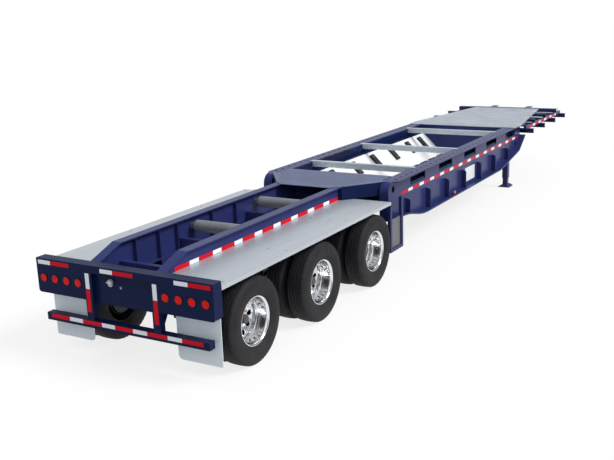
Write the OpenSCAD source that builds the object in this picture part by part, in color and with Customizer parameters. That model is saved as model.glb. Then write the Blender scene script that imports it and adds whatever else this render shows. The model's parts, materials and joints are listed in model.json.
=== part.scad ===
// Coil hauler semi-trailer with a dropped coil well between deep side beams.
// Millimetres, +X forward, +Y left, +Z up, origin on the ground under the middle of the length and width.
// Lengthwise places are stations, measured forward from the rearmost face.

/* [Overall] */
// Length over all
length = 14630; // [13800:10:15600]
// Width over all
width = 2590; // [2500:2:2620]
// Rise of the rail, beam and deck tops above the fender sheet
deck_rise = 210; // [190:2:240]

/* [Running gear] */
// Tyre radius
tyre_r = 530; // [500:1:560]
// Section width of one tyre
tyre_w = 276; // [250:2:300]
// Clear gap between twin tyres
twin_clear = 42; // [30:1:60]
// Gap between the rear tyres and the mud flaps
flap_clear = 120; // [90:5:160]
// Axle spacing
axle_pitch = 1575; // [1450:5:1700]
// Axle tube radius
axle_r = 63.5; // [55:0.5:72]
// Spindle radius inside the hub
spindle_r = 42; // [36:0.5:48]
// Clear height between the tyres and the fender sheet
fender_clear = 90; // [70:2:120]
// Gap between the air springs and the inner tyres
spring_clear = 76; // [50:2:100]

/* [Frame] */
// Depth of a rear rail
rail_h = 410; // [370:5:450]
// Flange width of a rear rail
rail_w = 138; // [120:2:156]
// Distance of a side beam's web from the trailer's side
beam_inset = 255; // [235:5:275]
// Flange width of a side beam
beam_w = 250; // [220:2:280]
// Depth of a side beam along the well
beam_h = 740; // [680:5:800]
// Thickness of the beam webs and ribs
web_t = 14; // [10:1:18]
// Thickness of the beam flanges
flange_t = 22; // [18:1:26]

/* [Coil well] */
// Gap between the front tyres and the splash frames
splash_clear = 80; // [60:5:120]
// Length of the side beams behind the well
shoulder_len = 540; // [480:10:600]
// Depth of the trough's upper edge below the beam tops
ledge_drop = 185; // [165:5:215]
// Width of the ledge beside the trough
ledge_w = 178; // [150:2:200]
// Slope of the trough's sides
slope_deg = 45; // [40:0.5:50]
// Thickness of the trough sheet
sheet_t = 10; // [8:1:14]

/* [Neck] */
// Length of the neck ahead of the well
neck_len = 3740; // [3500:10:4000]
// Depth of the neck from the deck down to the coupler's underside
neck_h = 270; // [250:5:300]
// Distance of the kingpin from the front end
kingpin_back = 1080; // [980:5:1180]
// Distance of the landing legs ahead of the well
leg_ahead = 510; // [450:10:570]

/* [Hidden] */
$fn = 64;

navy = [0.10, 0.11, 0.36];
silver = [0.78, 0.79, 0.80];
deck_grey = [0.52, 0.57, 0.66];
zinc = [0.62, 0.66, 0.70];
rubber = [0.10, 0.10, 0.11];
white = [0.93, 0.93, 0.92];
flap_blue = [0.72, 0.77, 0.83];
tank_grey = [0.45, 0.46, 0.48];
lamp_red = [0.75, 0.06, 0.06];

// Gap left between pieces that seat on a sloped or round face
seat = 0.3;
// How far a cutting solid passes the face it cuts
past = 1;
// Thickness of the plain walls, and the gap beside pieces that only pass each other
wall_t = 10;
wall_gap = 2;

// Heights
wheel_z = tyre_r;
fender_z = 2 * tyre_r + fender_clear;
top_z = fender_z + deck_rise;
rail_z = top_z - rail_h;
beam_z = top_z - beam_h;
coupler_z = top_z - neck_h;

// Places across the trailer
half_w = width / 2;
half_t = tyre_w / 2;
tyre_side = 8;
tyre_out = half_w - tyre_side;
outer_y = tyre_out - half_t;
inner_y = outer_y - tyre_w - twin_clear;
mate_y = (outer_y + inner_y) / 2;
tyre_in = inner_y - half_t;
spring_r = 125;
rail_y = tyre_in - spring_clear - spring_r;
beam_y = half_w - beam_inset;
flange_shift = 12;
beam_in = beam_y - beam_w / 2 + flange_shift;
beam_out = beam_in + beam_w;
web_y0 = beam_y - web_t / 2;
web_y1 = beam_y + web_t / 2;
ear_w = 150;
ear_y0 = beam_y - ear_w / 2;
ear_y1 = beam_y + ear_w / 2;

// Stations
lamp_out = 12;
header_d = 152;
flap_hang = 18;
flap_t = 8;
frame_w = 55;
header_s = lamp_out;
header_end = header_s + header_d;
flap_s = header_end + flap_hang;
axle_s = flap_s + flap_t + flap_clear + tyre_r;
axles = [for (i = [0:2]) axle_s + i * axle_pitch];
frame_s = axles[2] + tyre_r + splash_clear;
beam_back = 170;
beam_s0 = frame_s + beam_back;
well_s0 = beam_s0 + shoulder_len;
well_s1 = length - neck_len;
beam_ahead = 810;
beam_s1 = well_s1 + beam_ahead;
flange_back = 365;
flange_s0 = well_s0 - flange_back;

// Path helpers: each row of a path is [x, z, corner radius].
function unit(v) = v / norm(v);
function corner(a, b, c, r, n) =
    let (u = unit(a - b), w = unit(c - b), half = acos(u * w) / 2,
         m = b + unit(u + w) * r / sin(half), back = r / tan(half),
         p0 = b + u * back, p1 = b + w * back)
    [for (i = [0:n]) let (d = unit((p0 - m) * (1 - i / n) + (p1 - m) * i / n)) m + d * r];
function flat(p) = [p[0], p[1]];
function rounded(p, n = 8) =
    [for (i = [0:len(p) - 1])
        each i == 0 || i == len(p) - 1 || p[i][2] == 0 ? [flat(p[i])]
            : corner(flat(p[i - 1]), flat(p[i]), flat(p[i + 1]), p[i][2], n)];
function reversed(p) = [for (i = [len(p) - 1:-1:0]) p[i]];
function flipped(p) = [for (q = p) [q[0], -q[1]]];
function mirrored(p) = [for (q = reversed(p)) [-q[0], q[1]]];
// The same path moved to its left by d.
function beside(p, d) =
    [for (i = [0:len(p) - 1])
        let (t = unit(p[min(i + 1, len(p) - 1)] - p[max(i - 1, 0)])) p[i] + d * [-t[1], t[0]]];
// Places from first to last, at most pitch apart from each other, whole pitches only
function rows(first, last, pitch) = [for (s = [first:pitch:last + past]) s];

module placed() translate([-length / 2, 0, 0]) children();
module both_sides() { children(); mirror([0, 1, 0]) children(); }
module box(x, y, z) translate([x[0], y[0], z[0]]) cube([x[1] - x[0], y[1] - y[0], z[1] - z[0]]);
// A drawing in station and height, thick from y0 to y1
module long_plate(y0, y1) translate([0, y1, 0]) rotate([90, 0, 0]) linear_extrude(y1 - y0) children();
// A drawing in width and height, thick from station s0 to s1
module cross_plate(s0, s1) translate([s0, 0, 0]) rotate([90, 0, 90]) linear_extrude(s1 - s0) children();
// A round bar across the trailer from y0 to y1
module cross_bar(s, z, r, y0, y1) translate([s, y0, z]) rotate([-90, 0, 0]) cylinder(r = r, h = y1 - y0);
// A round bar along the trailer from s0 to s1
module long_bar(y, z, r, s0, s1) translate([s0, y, z]) rotate([0, 90, 0]) cylinder(r = r, h = s1 - s0);

// Rear rails: I-beams whose rear ends slope down to the header, stiffened on their inner sides
header_drop = 139;
header_z1 = top_z - header_drop;
tail_slope = 389;
rail_web = 10;
rail_flange = 16;
rail_end = well_s0 - wall_t;
rail_face = rail_y + rail_web / 2;
rail_path = [[header_end, header_z1], [header_end + tail_slope, top_z], [rail_end, top_z]];
stiff_t = 10;
stiff_in = 6;
stiff_from_mid = [-1595, -1145, -775, -5, 565];
fender_t = 6;
module rear_rail() {
    long_plate(rail_y - rail_web / 2, rail_face)
        polygon(concat(rail_path, [[rail_end, rail_z], [header_end, rail_z]]));
    long_plate(rail_y - rail_w / 2, rail_y + rail_w / 2) {
        polygon(concat(rail_path, reversed(beside(rail_path, -rail_flange))));
        polygon([[header_end, rail_z], [rail_end, rail_z], [rail_end, rail_z + rail_flange],
                 [header_end, rail_z + rail_flange]]);
    }
    let (low = rail_z + rail_flange / 2, high = top_z - rail_flange / 2)
        for (d = stiff_from_mid) let (s = axles[1] + d)
            box([s, s + stiff_t], [rail_y - rail_w / 2 + stiff_in, rail_y], [low, high]);
}
module rear_rails() color(navy) placed() both_sides() rear_rail();

// Cross members between the rails, and tapered arms that carry the fenders
member_back = [280, 715, 710];
member_ahead = 710;
member_s = concat([for (i = [0:2]) axles[i] - member_back[i]], [axles[2] + member_ahead]);
member_t = 8;
member_w = 70;
member_h = 150;
member_up = 20;
fender_ahead = 490;
fender_s1 = axles[2] + fender_ahead;
arm_ends = [136, 100];
arm_ahead = 780;
arm_s = [header_end + arm_ends[0], axles[0] + arm_ahead, axles[1] + arm_ahead, fender_s1 - arm_ends[1]];
arm_t = 12;
arm_up = 54;
arm_tip_h = 40;
arm_tip = 30;
module fender_arm(s)
    cross_plate(s, s + arm_t)
        polygon([[rail_face, rail_z + rail_flange + arm_up], [rail_face, fender_z],
                 [half_w - arm_tip, fender_z], [half_w - arm_tip, fender_z - arm_tip_h]]);
module rear_crossmembers() color(navy) placed() {
    for (s = member_s) let (y = rail_y - rail_web / 2, z = rail_z + member_up) {
        box([s, s + member_t], [-y, y], [z, z + member_h]);
        for (flange_z = [z, z + member_h - member_t])
            box([s, s + member_w], [-y, y], [flange_z, flange_z + member_t]);
    }
    both_sides() for (s = arm_s) fender_arm(s);
}

// Tail header: a folded box with a recessed middle panel and lamp holes
header_h = 425;
header_t = 10;
header_chamfer = 24;
header_z0 = header_z1 - header_h;
recess_side = 62;
recess_y = rail_y - recess_side;
recess_drop = 91;
recess_z = header_z1 - recess_drop;
recess_d = 62;
panel_drop = 38;
panel_lap = 30;
panel_z = header_z0 - panel_drop;
lamp_up = 189;
lamp_z = header_z0 + lamp_up;
lamp_r = 54;
lens_r = 41;
lamp_side = 106;
lamp_pitch = 182;
lamp_rows = [for (i = [0:3]) half_w - lamp_side - i * lamp_pitch];
module tail_header() color(navy) placed() {
    difference() {
        cross_plate(header_s, header_end)
            polygon([[-half_w, header_z0 + header_chamfer], [-half_w, header_z1], [half_w, header_z1],
                     [half_w, header_z0 + header_chamfer], [half_w - header_chamfer, header_z0],
                     [-half_w + header_chamfer, header_z0]]);
        box([header_s + header_t, header_end + past], [-half_w + header_t, half_w - header_t],
            [header_z0 + header_t, header_z1 - header_t]);
        box([header_s - past, header_end + past], [-recess_y, recess_y], [header_z0 - past, recess_z]);
        both_sides() for (y = lamp_rows)
            long_bar(y, lamp_z, lamp_r, header_s - past, header_s + header_t + past);
    }
    let (s = header_s + recess_d) {
        box([s, s + header_t], [-recess_y, recess_y], [panel_z, recess_z + panel_lap]);
        box([s, header_end], [-recess_y, recess_y], [panel_z, panel_z + header_t]);
        box([header_s, s + header_t], [-recess_y, recess_y], [recess_z, recess_z + header_t]);
    }
    both_sides()
        box([header_s, header_end], [recess_y, recess_y + header_t], [header_z0, header_z1 - header_t]);
}

// Eight round tail lamps, each with a body, a grommet groove over the sheet and a domed lens
lamp_body = 14;
lamp_step = 10;
module tail_lamp()
    rotate_extrude()
        polygon([[0, -header_t - lamp_body], [lamp_r - lamp_step, -header_t - lamp_body],
                 [lamp_r - lamp_step, -header_t], [lamp_r, -header_t], [lamp_r, 4], [lens_r + 6, 7],
                 [lens_r, 4], [lens_r - 4, lamp_out - 2], [0, lamp_out]]);
module tail_lamps() color(lamp_red) placed() both_sides() for (y = lamp_rows)
    translate([header_s, y, lamp_z]) rotate([0, -90, 0]) tail_lamp();

// Underride guard: a square tube on two posts with raked braces to the rails
guard_z0 = 455;
guard_h = 92;
guard_z1 = guard_z0 + guard_h;
guard_d = 102;
guard_t = 8;
guard_side = 94;
guard_y = half_w - guard_side;
post_w = 104;
post_d = 80;
brace_w = 40;
brace_up = [10, 80];
brace_back = [75, 165];
module underride_guard() color(navy) placed() {
    difference() {
        box([header_s, header_s + guard_d], [-guard_y, guard_y], [guard_z0, guard_z1]);
        box([header_s + guard_t, header_s + guard_d - guard_t], [-guard_y - past, guard_y + past],
            [guard_z0 + guard_t, guard_z1 - guard_t]);
    }
    both_sides() {
        box([header_s, header_s + post_d], [rail_y - post_w / 2, rail_y + post_w / 2], [guard_z1, header_z0]);
        long_plate(rail_y - brace_w / 2, rail_y + brace_w / 2)
            polygon([[header_s + post_d, guard_z1 + brace_up[0]], [header_s + post_d, guard_z1 + brace_up[1]],
                     [header_end + brace_back[0], rail_z], [header_end + brace_back[1], rail_z]]);
    }
}

// Mud flaps hung from bars behind the header
flap_w = 610;
flap_side = 45;
flap_z = 205;
flap_top = 30;
flap_in = tyre_out - flap_side - flap_w;
hang_z = [2, 40];
module mud_flaps() color(flap_blue) placed() both_sides() {
    cross_plate(flap_s, flap_s + flap_t)
        polygon(rounded([[flap_in, header_z0 + flap_top, 0], [flap_in, flap_z, 60],
                         [flap_in + flap_w, flap_z, 20], [flap_in + flap_w, header_z0 + flap_top, 0]]));
    box([header_end, flap_s], [flap_in, flap_in + flap_w], [header_z0 + hang_z[0], header_z0 + hang_z[1]]);
}

// Flat fenders over all three axles, with down-turned edges
fender_lip = 38;
fender_gap = 4;
module fenders() color(silver) placed() both_sides() {
    box([header_end + fender_gap, fender_s1], [rail_face, half_w], [fender_z, fender_z + fender_t]);
    box([header_end + fender_gap, fender_s1], [half_w - fender_t, half_w], [fender_z - fender_lip, fender_z]);
    box([fender_s1 - fender_t, fender_s1], [rail_y + rail_w / 2, half_w - fender_t],
        [fender_z - fender_lip, fender_z]);
}

// Suspension hangers under the rails, with the pivot bolts
hanger_ahead = 575;
hanger_foot = [-150, 120];
hanger_half = 62;
hanger_low = 60;
hanger_t = 10;
hanger_back = [84, 110];
hanger_web = 8;
hanger_gap = 90;
pivot_up = 110;
pivot_z = wheel_z + pivot_up;
pivot_r = 16;
bolt_end = 34;
sus_arm_w = 96;
arm_side = 6;
arm_y0 = rail_y - sus_arm_w / 2;
arm_y1 = rail_y + sus_arm_w / 2;
module suspension_hanger(s) {
    for (y = [arm_y0 - arm_side - hanger_t, arm_y1 + arm_side])
        long_plate(y, y + hanger_t)
            polygon(rounded([[s + hanger_foot[0], rail_z, 0], [s - hanger_half, pivot_z - hanger_low, 50],
                             [s + hanger_half, pivot_z - hanger_low, 50], [s + hanger_foot[1], rail_z, 0]]));
    long_plate(arm_y0 - arm_side, arm_y1 + arm_side)
        polygon([for (p = [[0, 0], [1, 0], [1, 1], [0, 1]])
                 [s + hanger_back[p[0]] + p[1] * hanger_web, p[0] == 1 ? rail_z : pivot_z + hanger_gap]]);
    cross_bar(s, pivot_z, pivot_r, arm_y0 - bolt_end, arm_y1 + bolt_end);
}
module suspension_hangers() color(navy) placed() both_sides() for (s = axles)
    suspension_hanger(s + hanger_ahead);

// Trailing arms over the axles, from the pivots back to the air springs
spring_back = 380;
eye_r = 42;
tail_len = 90;
tail_z = [10, 40];
crown_h = 100;
seat_half = 70;
spring_seat = [50, 14];
spring_inset = 25;
arm_top = wheel_z + axle_r;
module trailing_arm(s)
    difference() {
        union() {
            long_plate(arm_y0, arm_y1)
                polygon([[s + hanger_ahead, pivot_z - eye_r], [s + hanger_ahead, pivot_z + eye_r],
                         [s + seat_half, arm_top + crown_h],
                         [s - spring_back - tail_len, arm_top + tail_z[1]],
                         [s - spring_back - tail_len, arm_top + tail_z[0]], [s - seat_half, arm_top],
                         [s + seat_half, arm_top]]);
            cross_bar(s + hanger_ahead, pivot_z, eye_r, arm_y0, arm_y1);
            translate([s - spring_back, rail_y, arm_top + spring_seat[0]])
                cylinder(r = spring_r - spring_inset, h = spring_seat[1]);
        }
        cross_bar(s + hanger_ahead, pivot_z, pivot_r, arm_y0 - past, arm_y1 + past);
    }
module trailing_arms() color(rubber) placed() both_sides() for (s = axles) trailing_arm(s);

// Rolling-lobe air springs between the arms and the rails
piston_in = 38;
piston_h = 60;
lobe_h = 110;
bead_in = 30;
module air_spring(s, z0, h)
    translate([s, rail_y, z0]) rotate_extrude()
        polygon(rounded([[0, 0, 0], [spring_r - piston_in, 0, 0], [spring_r - piston_in, piston_h, 0],
                         [spring_r - 12, piston_h + 10, 20], [spring_r, lobe_h, 40], [spring_r, h - 40, 30],
                         [spring_r - bead_in, h, 0], [0, h, 0]], 4));
module air_springs() color(rubber) placed() both_sides() for (s = axles)
    let (z = arm_top + spring_seat[0] + spring_seat[1]) air_spring(s - spring_back, z, rail_z - z);

// Axles: tube, spindles, seats under the arms, brake spiders and chamber brackets
hub_half = 150;
drum_r = 208;
drum_in = mate_y - 220;
spider_t = 18;
spider_gap = 6;
spider_y = drum_in - spider_gap - spider_t;
spider_r = drum_r - 22;
spindle_step = 12;
spindle_end = 132;
clamp_t = 12;
clamp_low = 10;
cam_back = 100;
cam_r = 19;
rod_up = 130;
rod_r = 9;
chamber_r = 90;
chamber_side = 40;
chamber_y = arm_y0 - chamber_side - chamber_r;
bracket_half = 75;
bracket_t = 14;
module axle(s) placed() {
    cross_bar(s, wheel_z, axle_r, -spider_y, spider_y);
    both_sides() {
        cross_bar(s, wheel_z, spindle_r + spindle_step, spider_y, mate_y - hub_half - spider_gap);
        cross_bar(s, wheel_z, spindle_r, spider_y, mate_y + spindle_end);
        difference() {
            cross_bar(s, wheel_z, spider_r, spider_y, spider_y + spider_t);
            cross_bar(s - cam_back, wheel_z, cam_r + seat, spider_y - past, spider_y + spider_t + past);
        }
        box([s - seat_half, s + seat_half], [arm_y0, arm_y1], [wheel_z - clamp_low, arm_top]);
        box([s - seat_half, s + seat_half], [arm_y0, arm_y1],
            [wheel_z - axle_r - clamp_t, wheel_z - axle_r + clamp_t]);
        difference() {
            box([s, s + bracket_t], [chamber_y - bracket_half, chamber_y + bracket_half],
                [wheel_z, wheel_z + rod_up + bracket_half]);
            long_bar(chamber_y, wheel_z + rod_up, rod_r + seat, s - past, s + bracket_t + past);
        }
    }
}
module axle_rear() color(rubber) axle(axles[0]);
module axle_mid() color(rubber) axle(axles[1]);
module axle_front() color(rubber) axle(axles[2]);

// Brake chambers with their push rods, slack adjusters and camshafts
chamber_line = let (r = chamber_r, b = chamber_r - 8)
    [[0, 0], [r - 26, 0], [b, 34], [b, 72], [r, 76], [r, 90], [b, 94], [b, 164], [r - 30, 184], [0, 184]];
slack_r = 34;
slack_t = 30;
module brake_chamber(s) {
    translate([s + bracket_t, chamber_y, wheel_z + rod_up]) rotate([0, 90, 0]) rotate_extrude()
        polygon(chamber_line);
    long_bar(chamber_y, wheel_z + rod_up, rod_r, s - cam_back, s + bracket_t + past);
    let (y = chamber_y - slack_t / 2) {
        cross_bar(s - cam_back, wheel_z, slack_r, y, y + slack_t);
        cross_bar(s - cam_back, wheel_z + rod_up, slack_r / 2, y, y + slack_t);
        box([s - cam_back - slack_r / 2, s - cam_back + slack_r / 2], [y, y + slack_t],
            [wheel_z, wheel_z + rod_up]);
        cross_bar(s - cam_back, wheel_z, cam_r, y, spider_y + spider_t);
    }
}
module brake_chambers() color(tank_grey) placed() both_sides() for (s = axles) brake_chamber(s);

// Air tanks slung across between the rails
tank_back = [405, 430];
tank_rows = [for (i = [0:1]) axles[i + 1] - tank_back[i]];
tank_r = 80;
tank_dome = 55;
tank_gap = 47;
tank_end = rail_y - rail_web / 2 - tank_gap;
tank_lug = 60;
tank_drop = 57;
tank_z = top_z - tank_r - tank_drop;
module air_tank(s)
    translate([s, 0, tank_z]) rotate([90, 0, 0]) rotate_extrude()
        polygon(rounded([[0, -tank_end, 0], [tank_r, -tank_end, tank_dome], [tank_r, tank_end, tank_dome],
                         [0, tank_end, 0]], 5));
module air_tanks() color(tank_grey) placed() for (s = tank_rows) {
    air_tank(s);
    both_sides()
        box([s - tank_lug / 2, s + tank_lug / 2], [tank_end - 10, rail_y - rail_web / 2],
            [tank_z - tank_lug / 2, tank_z + tank_lug / 2]);
}

// Tread-plate deck that joins the rear rails to the side beams
deck_t = 8;
deck_gap = 4;
deck_tail = 600;
deck_flare = 450;
flare_side = 20;
deck_edge = [[beam_s0 - deck_tail, rail_y - rail_w / 2],
             [beam_s0 - deck_flare, rail_y + rail_w / 2 + flare_side],
             [flange_s0 - deck_gap, beam_y], [flange_s0 - deck_gap, beam_in - deck_gap],
             [well_s0 + deck_gap, beam_in - deck_gap]];
module transition_deck() color(deck_grey) placed()
    translate([0, 0, top_z]) linear_extrude(deck_t) polygon(concat(deck_edge, reversed(flipped(deck_edge))));

// Walls under that deck: the well's rear wall and the flared side walls
rear_rise = 150;
rear_low = beam_z + rear_rise;
flare_end = 60;
// A wall across the well at station s from height z, notched round the beams' top flanges
module well_wall(s, z)
    let (edge = [[web_y0, z], [web_y0, top_z - flange_t], [beam_in, top_z - flange_t], [beam_in, top_z]])
        cross_plate(s, s + wall_t) polygon(concat(edge, mirrored(edge)));
module well_rear_bulkhead() color(navy) placed() {
    well_wall(well_s0 - wall_t, rear_low + flange_t);
    both_sides() let (z = fender_z + fender_t + wall_gap, s = beam_s0 - deck_flare, y = rail_y + rail_w / 2) {
        box([s, s + wall_t], [rail_face, y], [z, top_z - rail_flange]);
        translate([0, 0, z]) linear_extrude(top_z - z)
            polygon([[s, y], [beam_s0 + flare_end, ear_y0 - seat],
                     [beam_s0 + flare_end + wall_t, ear_y0 - seat], [s + wall_t, y]]);
    }
}

// Underside of a side beam, from the rear, with its swept corners
well_rear = [40, 680];
well_front = [830, 400];
front_rise = 200;
sweep_r = [2100, 1500, 220];
beam_low = rounded([[beam_s0, rear_low, 0], [well_s0 + well_rear[0], rear_low, sweep_r[0]],
                    [well_s0 + well_rear[1], beam_z, sweep_r[0]],
                    [well_s1 - well_front[0], beam_z, sweep_r[1]],
                    [well_s1 + well_front[1], beam_z + front_rise, sweep_r[2]], [beam_s1, coupler_z, 0]]);
// Height of that underside at station s
function low_at(s) = lookup(s, beam_low);

// Side beam: web with a flange curled over its rear ear, swept lower flange, slots under the top, and ribs
ear_h = 170;
ear_cut = 70;
ear_lean = 10;
ear_r = 160;
ear_hole = [330, 157, 52];
hole_pitch = 203.2;
hole_r = 27;
hole_out = 46;
hole_first = 175;
rib_pitch = 850;
rib_ends = [245, 235];
rib_rows = rows(well_s0 + rib_ends[0], well_s1 - rib_ends[1], rib_pitch);
rib_drop = [405, 385];
rib_w = 90;
rib_r = 40;
slot_w = 620;
slot_drop = 215;
slot_pitch = 1240;
slot_ends = [760, 140];
slot_rows = rows(well_s0 + slot_ends[0], well_s1 + slot_ends[1], slot_pitch);
web_top = top_z - flange_t;
ear_line = rounded([[beam_s0, rear_low, 0], [beam_s0, top_z - ear_h, 0], [beam_s0 + ear_lean, top_z, ear_r],
                    [flange_s0, top_z, 0]]);
module beam_web()
    difference() {
        polygon(concat(ear_line, [[flange_s0, web_top], [beam_s1, web_top]], reversed(beam_low)));
        for (s = slot_rows)
            translate([s - slot_w / 2, top_z - slot_drop]) square([slot_w, slot_drop]);
        translate([beam_s0 + ear_hole[0], top_z - ear_hole[1]]) circle(r = ear_hole[2]);
    }
module beam_rib(s)
    cross_plate(s, s + web_t)
        let (low = low_at(s) + flange_t / 2, out = web_y1 + rib_w)
            polygon(rounded([[web_y1, low, 0], [out, low, 0], [out, top_z - rib_drop[0], rib_r],
                             [web_y1, top_z - rib_drop[1], 0]]));
module side_beam() {
    long_plate(web_y0, web_y1) beam_web();
    long_plate(ear_y0, ear_y1) polygon(concat(ear_line, reversed(beside(ear_line, -flange_t))));
    long_plate(beam_in, beam_out) polygon(concat(beam_low, reversed(beside(beam_low, flange_t))));
    for (s = rib_rows) beam_rib(s);
}
module side_beam_left() color(navy) placed() side_beam();
module side_beam_right() color(navy) placed() mirror([0, 1, 0]) side_beam();

// Top flange of a side beam, pierced along its outer half for hooks and stakes
module top_flange()
    difference() {
        translate([0, 0, web_top]) linear_extrude(flange_t)
            polygon([[flange_s0, beam_in], [flange_s0, ear_y1], [flange_s0 + ear_cut, beam_out],
                     [beam_s1, beam_out], [beam_s1, beam_in]]);
        for (s = rows(flange_s0 + hole_first, well_s1, hole_pitch))
            translate([s, beam_y + hole_out, web_top - past]) cylinder(r = hole_r, h = flange_t + 2 * past);
    }
module top_flange_left() color(navy) placed() top_flange();
module top_flange_right() color(navy) placed() mirror([0, 1, 0]) top_flange();

// Coil trough: sloped sides, flat floor and ramped ends
floor_up = 40;
floor_z = beam_z + floor_up;
slope_z = top_z - ledge_drop;
slope_y = web_y0 - ledge_w;
floor_y = slope_y - (slope_z - floor_z) / tan(slope_deg);
sheet_z = sheet_t / cos(slope_deg);
ramp_up = 8;
ramp_low = [[well_s0, rear_low + flange_t + ramp_up], [well_s0 + well_rear[1], floor_z],
            [well_s1 - well_front[0], floor_z], [well_s1, low_at(well_s1) + flange_t + ramp_up]];
function trough_line(t) =
    [[web_y0, slope_z + t], [slope_y, slope_z + t], [floor_y, floor_z + t],
     [-floor_y, floor_z + t], [-slope_y, slope_z + t], [-web_y0, slope_z + t]];
module well_trough() color(white) placed() {
    difference() {
        cross_plate(well_s0, well_s1) polygon(concat(trough_line(0), reversed(trough_line(-sheet_z))));
        long_plate(-width, width) polygon(concat(ramp_low, [[well_s1, 0], [well_s0, 0]]));
    }
    intersection() {
        long_plate(-width, width) polygon(concat(ramp_low, reversed(beside(ramp_low, sheet_t))));
        cross_plate(well_s0, well_s1)
            polygon(concat(trough_line(-sheet_z / 2), [[-web_y0, top_z], [web_y0, top_z]]));
    }
}

// Inner walls of the well: a plate under each top flange, behind the beam's slots, and a bar along the ledge
liner_t = 10;
ledge_in = 8;
ledge_h = 30;
module well_liners() color(navy) placed() both_sides() let (s = [well_s0 + seat, well_s1 - seat]) {
    box(s, [beam_in, beam_in + liner_t], [slope_z + seat, web_top - seat]);
    box(s, [slope_y + ledge_in, beam_in - seat], [slope_z + seat, slope_z + ledge_h]);
}

// Rubber pads down the trough's sides
pad_len = 290;
pad_w = 150;
pad_t = 36;
pad_down = 70;
pad_pitch = 832.5;
pad_last = 650;
pad_ends = [1150, 1100];
pad_even = rows(well_s0 + pad_ends[0], well_s1 - pad_ends[1], pad_pitch);
pad_rows = concat(pad_even, [pad_even[len(pad_even) - 1] + pad_last]);
module trough_pads() color(rubber) placed() both_sides() for (s = pad_rows)
    translate([s, slope_y - pad_down * cos(slope_deg), slope_z - pad_down * sin(slope_deg)])
        rotate([slope_deg, 0, 0]) translate([-pad_w / 2, -pad_len, seat]) cube([pad_w, pad_len, pad_t]);

// Bars across the well, hooked over the inner flange edges
bar_ends = [800, 660];
bar_back = 40;
bar_rows = [well_s0 + bar_ends[0], (well_s0 + well_s1) / 2 - bar_back, well_s1 - bar_ends[1]];
bar_w = 100;
bar_h = 95;
bar_t = 8;
bar_up = 10;
bar_lap = 46;
bar_gap = 2;
module crossbars() color(zinc) placed() for (s = bar_rows) let (z = top_z + bar_up, y = beam_in - bar_gap) {
    difference() {
        box([s - bar_w / 2, s + bar_w / 2], [-y, y], [z - bar_h, z]);
        box([s - bar_w / 2 + bar_t, s + bar_w / 2 - bar_t], [-y - past, y + past],
            [z - bar_h + bar_t, z - bar_t]);
    }
    both_sides() box([s - bar_w / 2, s + bar_w / 2], [y, beam_in + bar_lap], [top_z, z]);
}

// Cross frames under the trough, one at each inner pair of ribs
frame_t = 8;
frame_flange = 80;
frame_line = [[beam_in, beam_z], [beam_in, beam_z + flange_t], [web_y0, beam_z + flange_t],
              [web_y0, slope_z - sheet_z - seat], [slope_y, slope_z - sheet_z - seat],
              [floor_y + sheet_z / tan(slope_deg) + seat, floor_z - seat]];
module well_crossmembers() color(navy) placed() for (i = [1:len(rib_rows) - 2]) let (s = rib_rows[i]) {
    cross_plate(s, s + frame_t) polygon(concat(frame_line, mirrored(frame_line)));
    box([s, s + frame_flange], [-beam_in, beam_in], [beam_z, beam_z + frame_t]);
}

// Wall at the front of the well
module well_front_bulkhead() color(navy) placed()
    well_wall(well_s1, low_at(well_s1 + wall_t) + flange_t + wall_gap);

// Neck: two main beams with a rising nose, full-width outriggers and arms under the deck
neck_y = 430;
neck_web = 12;
neck_flange = 130;
neck_flange_t = 14;
neck_s0 = well_s1 + wall_t;
neck_s1 = length - 20;
nose_s = [length - 270, length - 110];
nose_rise = 48;
coupler_t = 12;
pin_flange_t = 16;
outrigger_w = 100;
outrigger_t = 10;
outrigger_h = 92;
outrigger_z = coupler_z + coupler_t + pin_flange_t + wall_gap;
outrigger_end = length - outrigger_w / 2;
outrigger_ahead = 200;
outrigger_s = [for (i = [0:3]) let (first = beam_s1 + outrigger_ahead)
               first + i * (outrigger_end - first) / 3];
deck_arm_s = [for (i = [0:1]) (outrigger_s[i] + outrigger_s[i + 1]) / 2];
deck_arm_h = 70;
deck_arm_w = 90;
side_rail_in = 105;
rail_out = half_w - side_rail_in;
neck_low = [[neck_s0, coupler_z + coupler_t], [nose_s[0], coupler_z + coupler_t],
            [nose_s[1], coupler_z + coupler_t + nose_rise], [neck_s1, coupler_z + coupler_t + nose_rise]];
module neck_beam() {
    long_plate(neck_y - neck_web / 2, neck_y + neck_web / 2)
        polygon(concat(neck_low, [[neck_s1, top_z], [neck_s0, top_z]]));
    long_plate(neck_y - neck_flange / 2, neck_y + neck_flange / 2) {
        polygon(concat(neck_low, reversed(beside(neck_low, neck_flange_t))));
        translate([neck_s0, top_z - neck_flange_t]) square([neck_s1 - neck_s0, neck_flange_t]);
    }
}
// A channel-like bar across the neck with its web at s: the top plate always, the foot where low is true
module across(s, y, z, t, w, low) {
    box([s - t / 2, s + t / 2], y, z);
    box([s - w / 2, s + w / 2], y, [z[1] - t, z[1]]);
    if (low) box([s - w / 2, s + w / 2], y, [z[0], z[0] + t]);
}
module neck_frame() color(navy) placed() {
    both_sides() {
        neck_beam();
        for (s = deck_arm_s)
            across(s, [neck_y, rail_out], [top_z - deck_arm_h, top_z], outrigger_t, deck_arm_w, false);
    }
    for (s = outrigger_s)
        across(s, [-half_w, half_w], [outrigger_z, outrigger_z + outrigger_h], outrigger_t, outrigger_w,
               true);
}

// Side rails of the neck, between the outriggers and the arms under the deck
side_rail_w = 60;
module neck_side_rails() color(navy) placed() both_sides()
    box([beam_s1 + wall_gap, length - outrigger_w], [rail_out - side_rail_w, rail_out],
        [outrigger_z + outrigger_h, top_z - deck_arm_h]);

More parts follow.
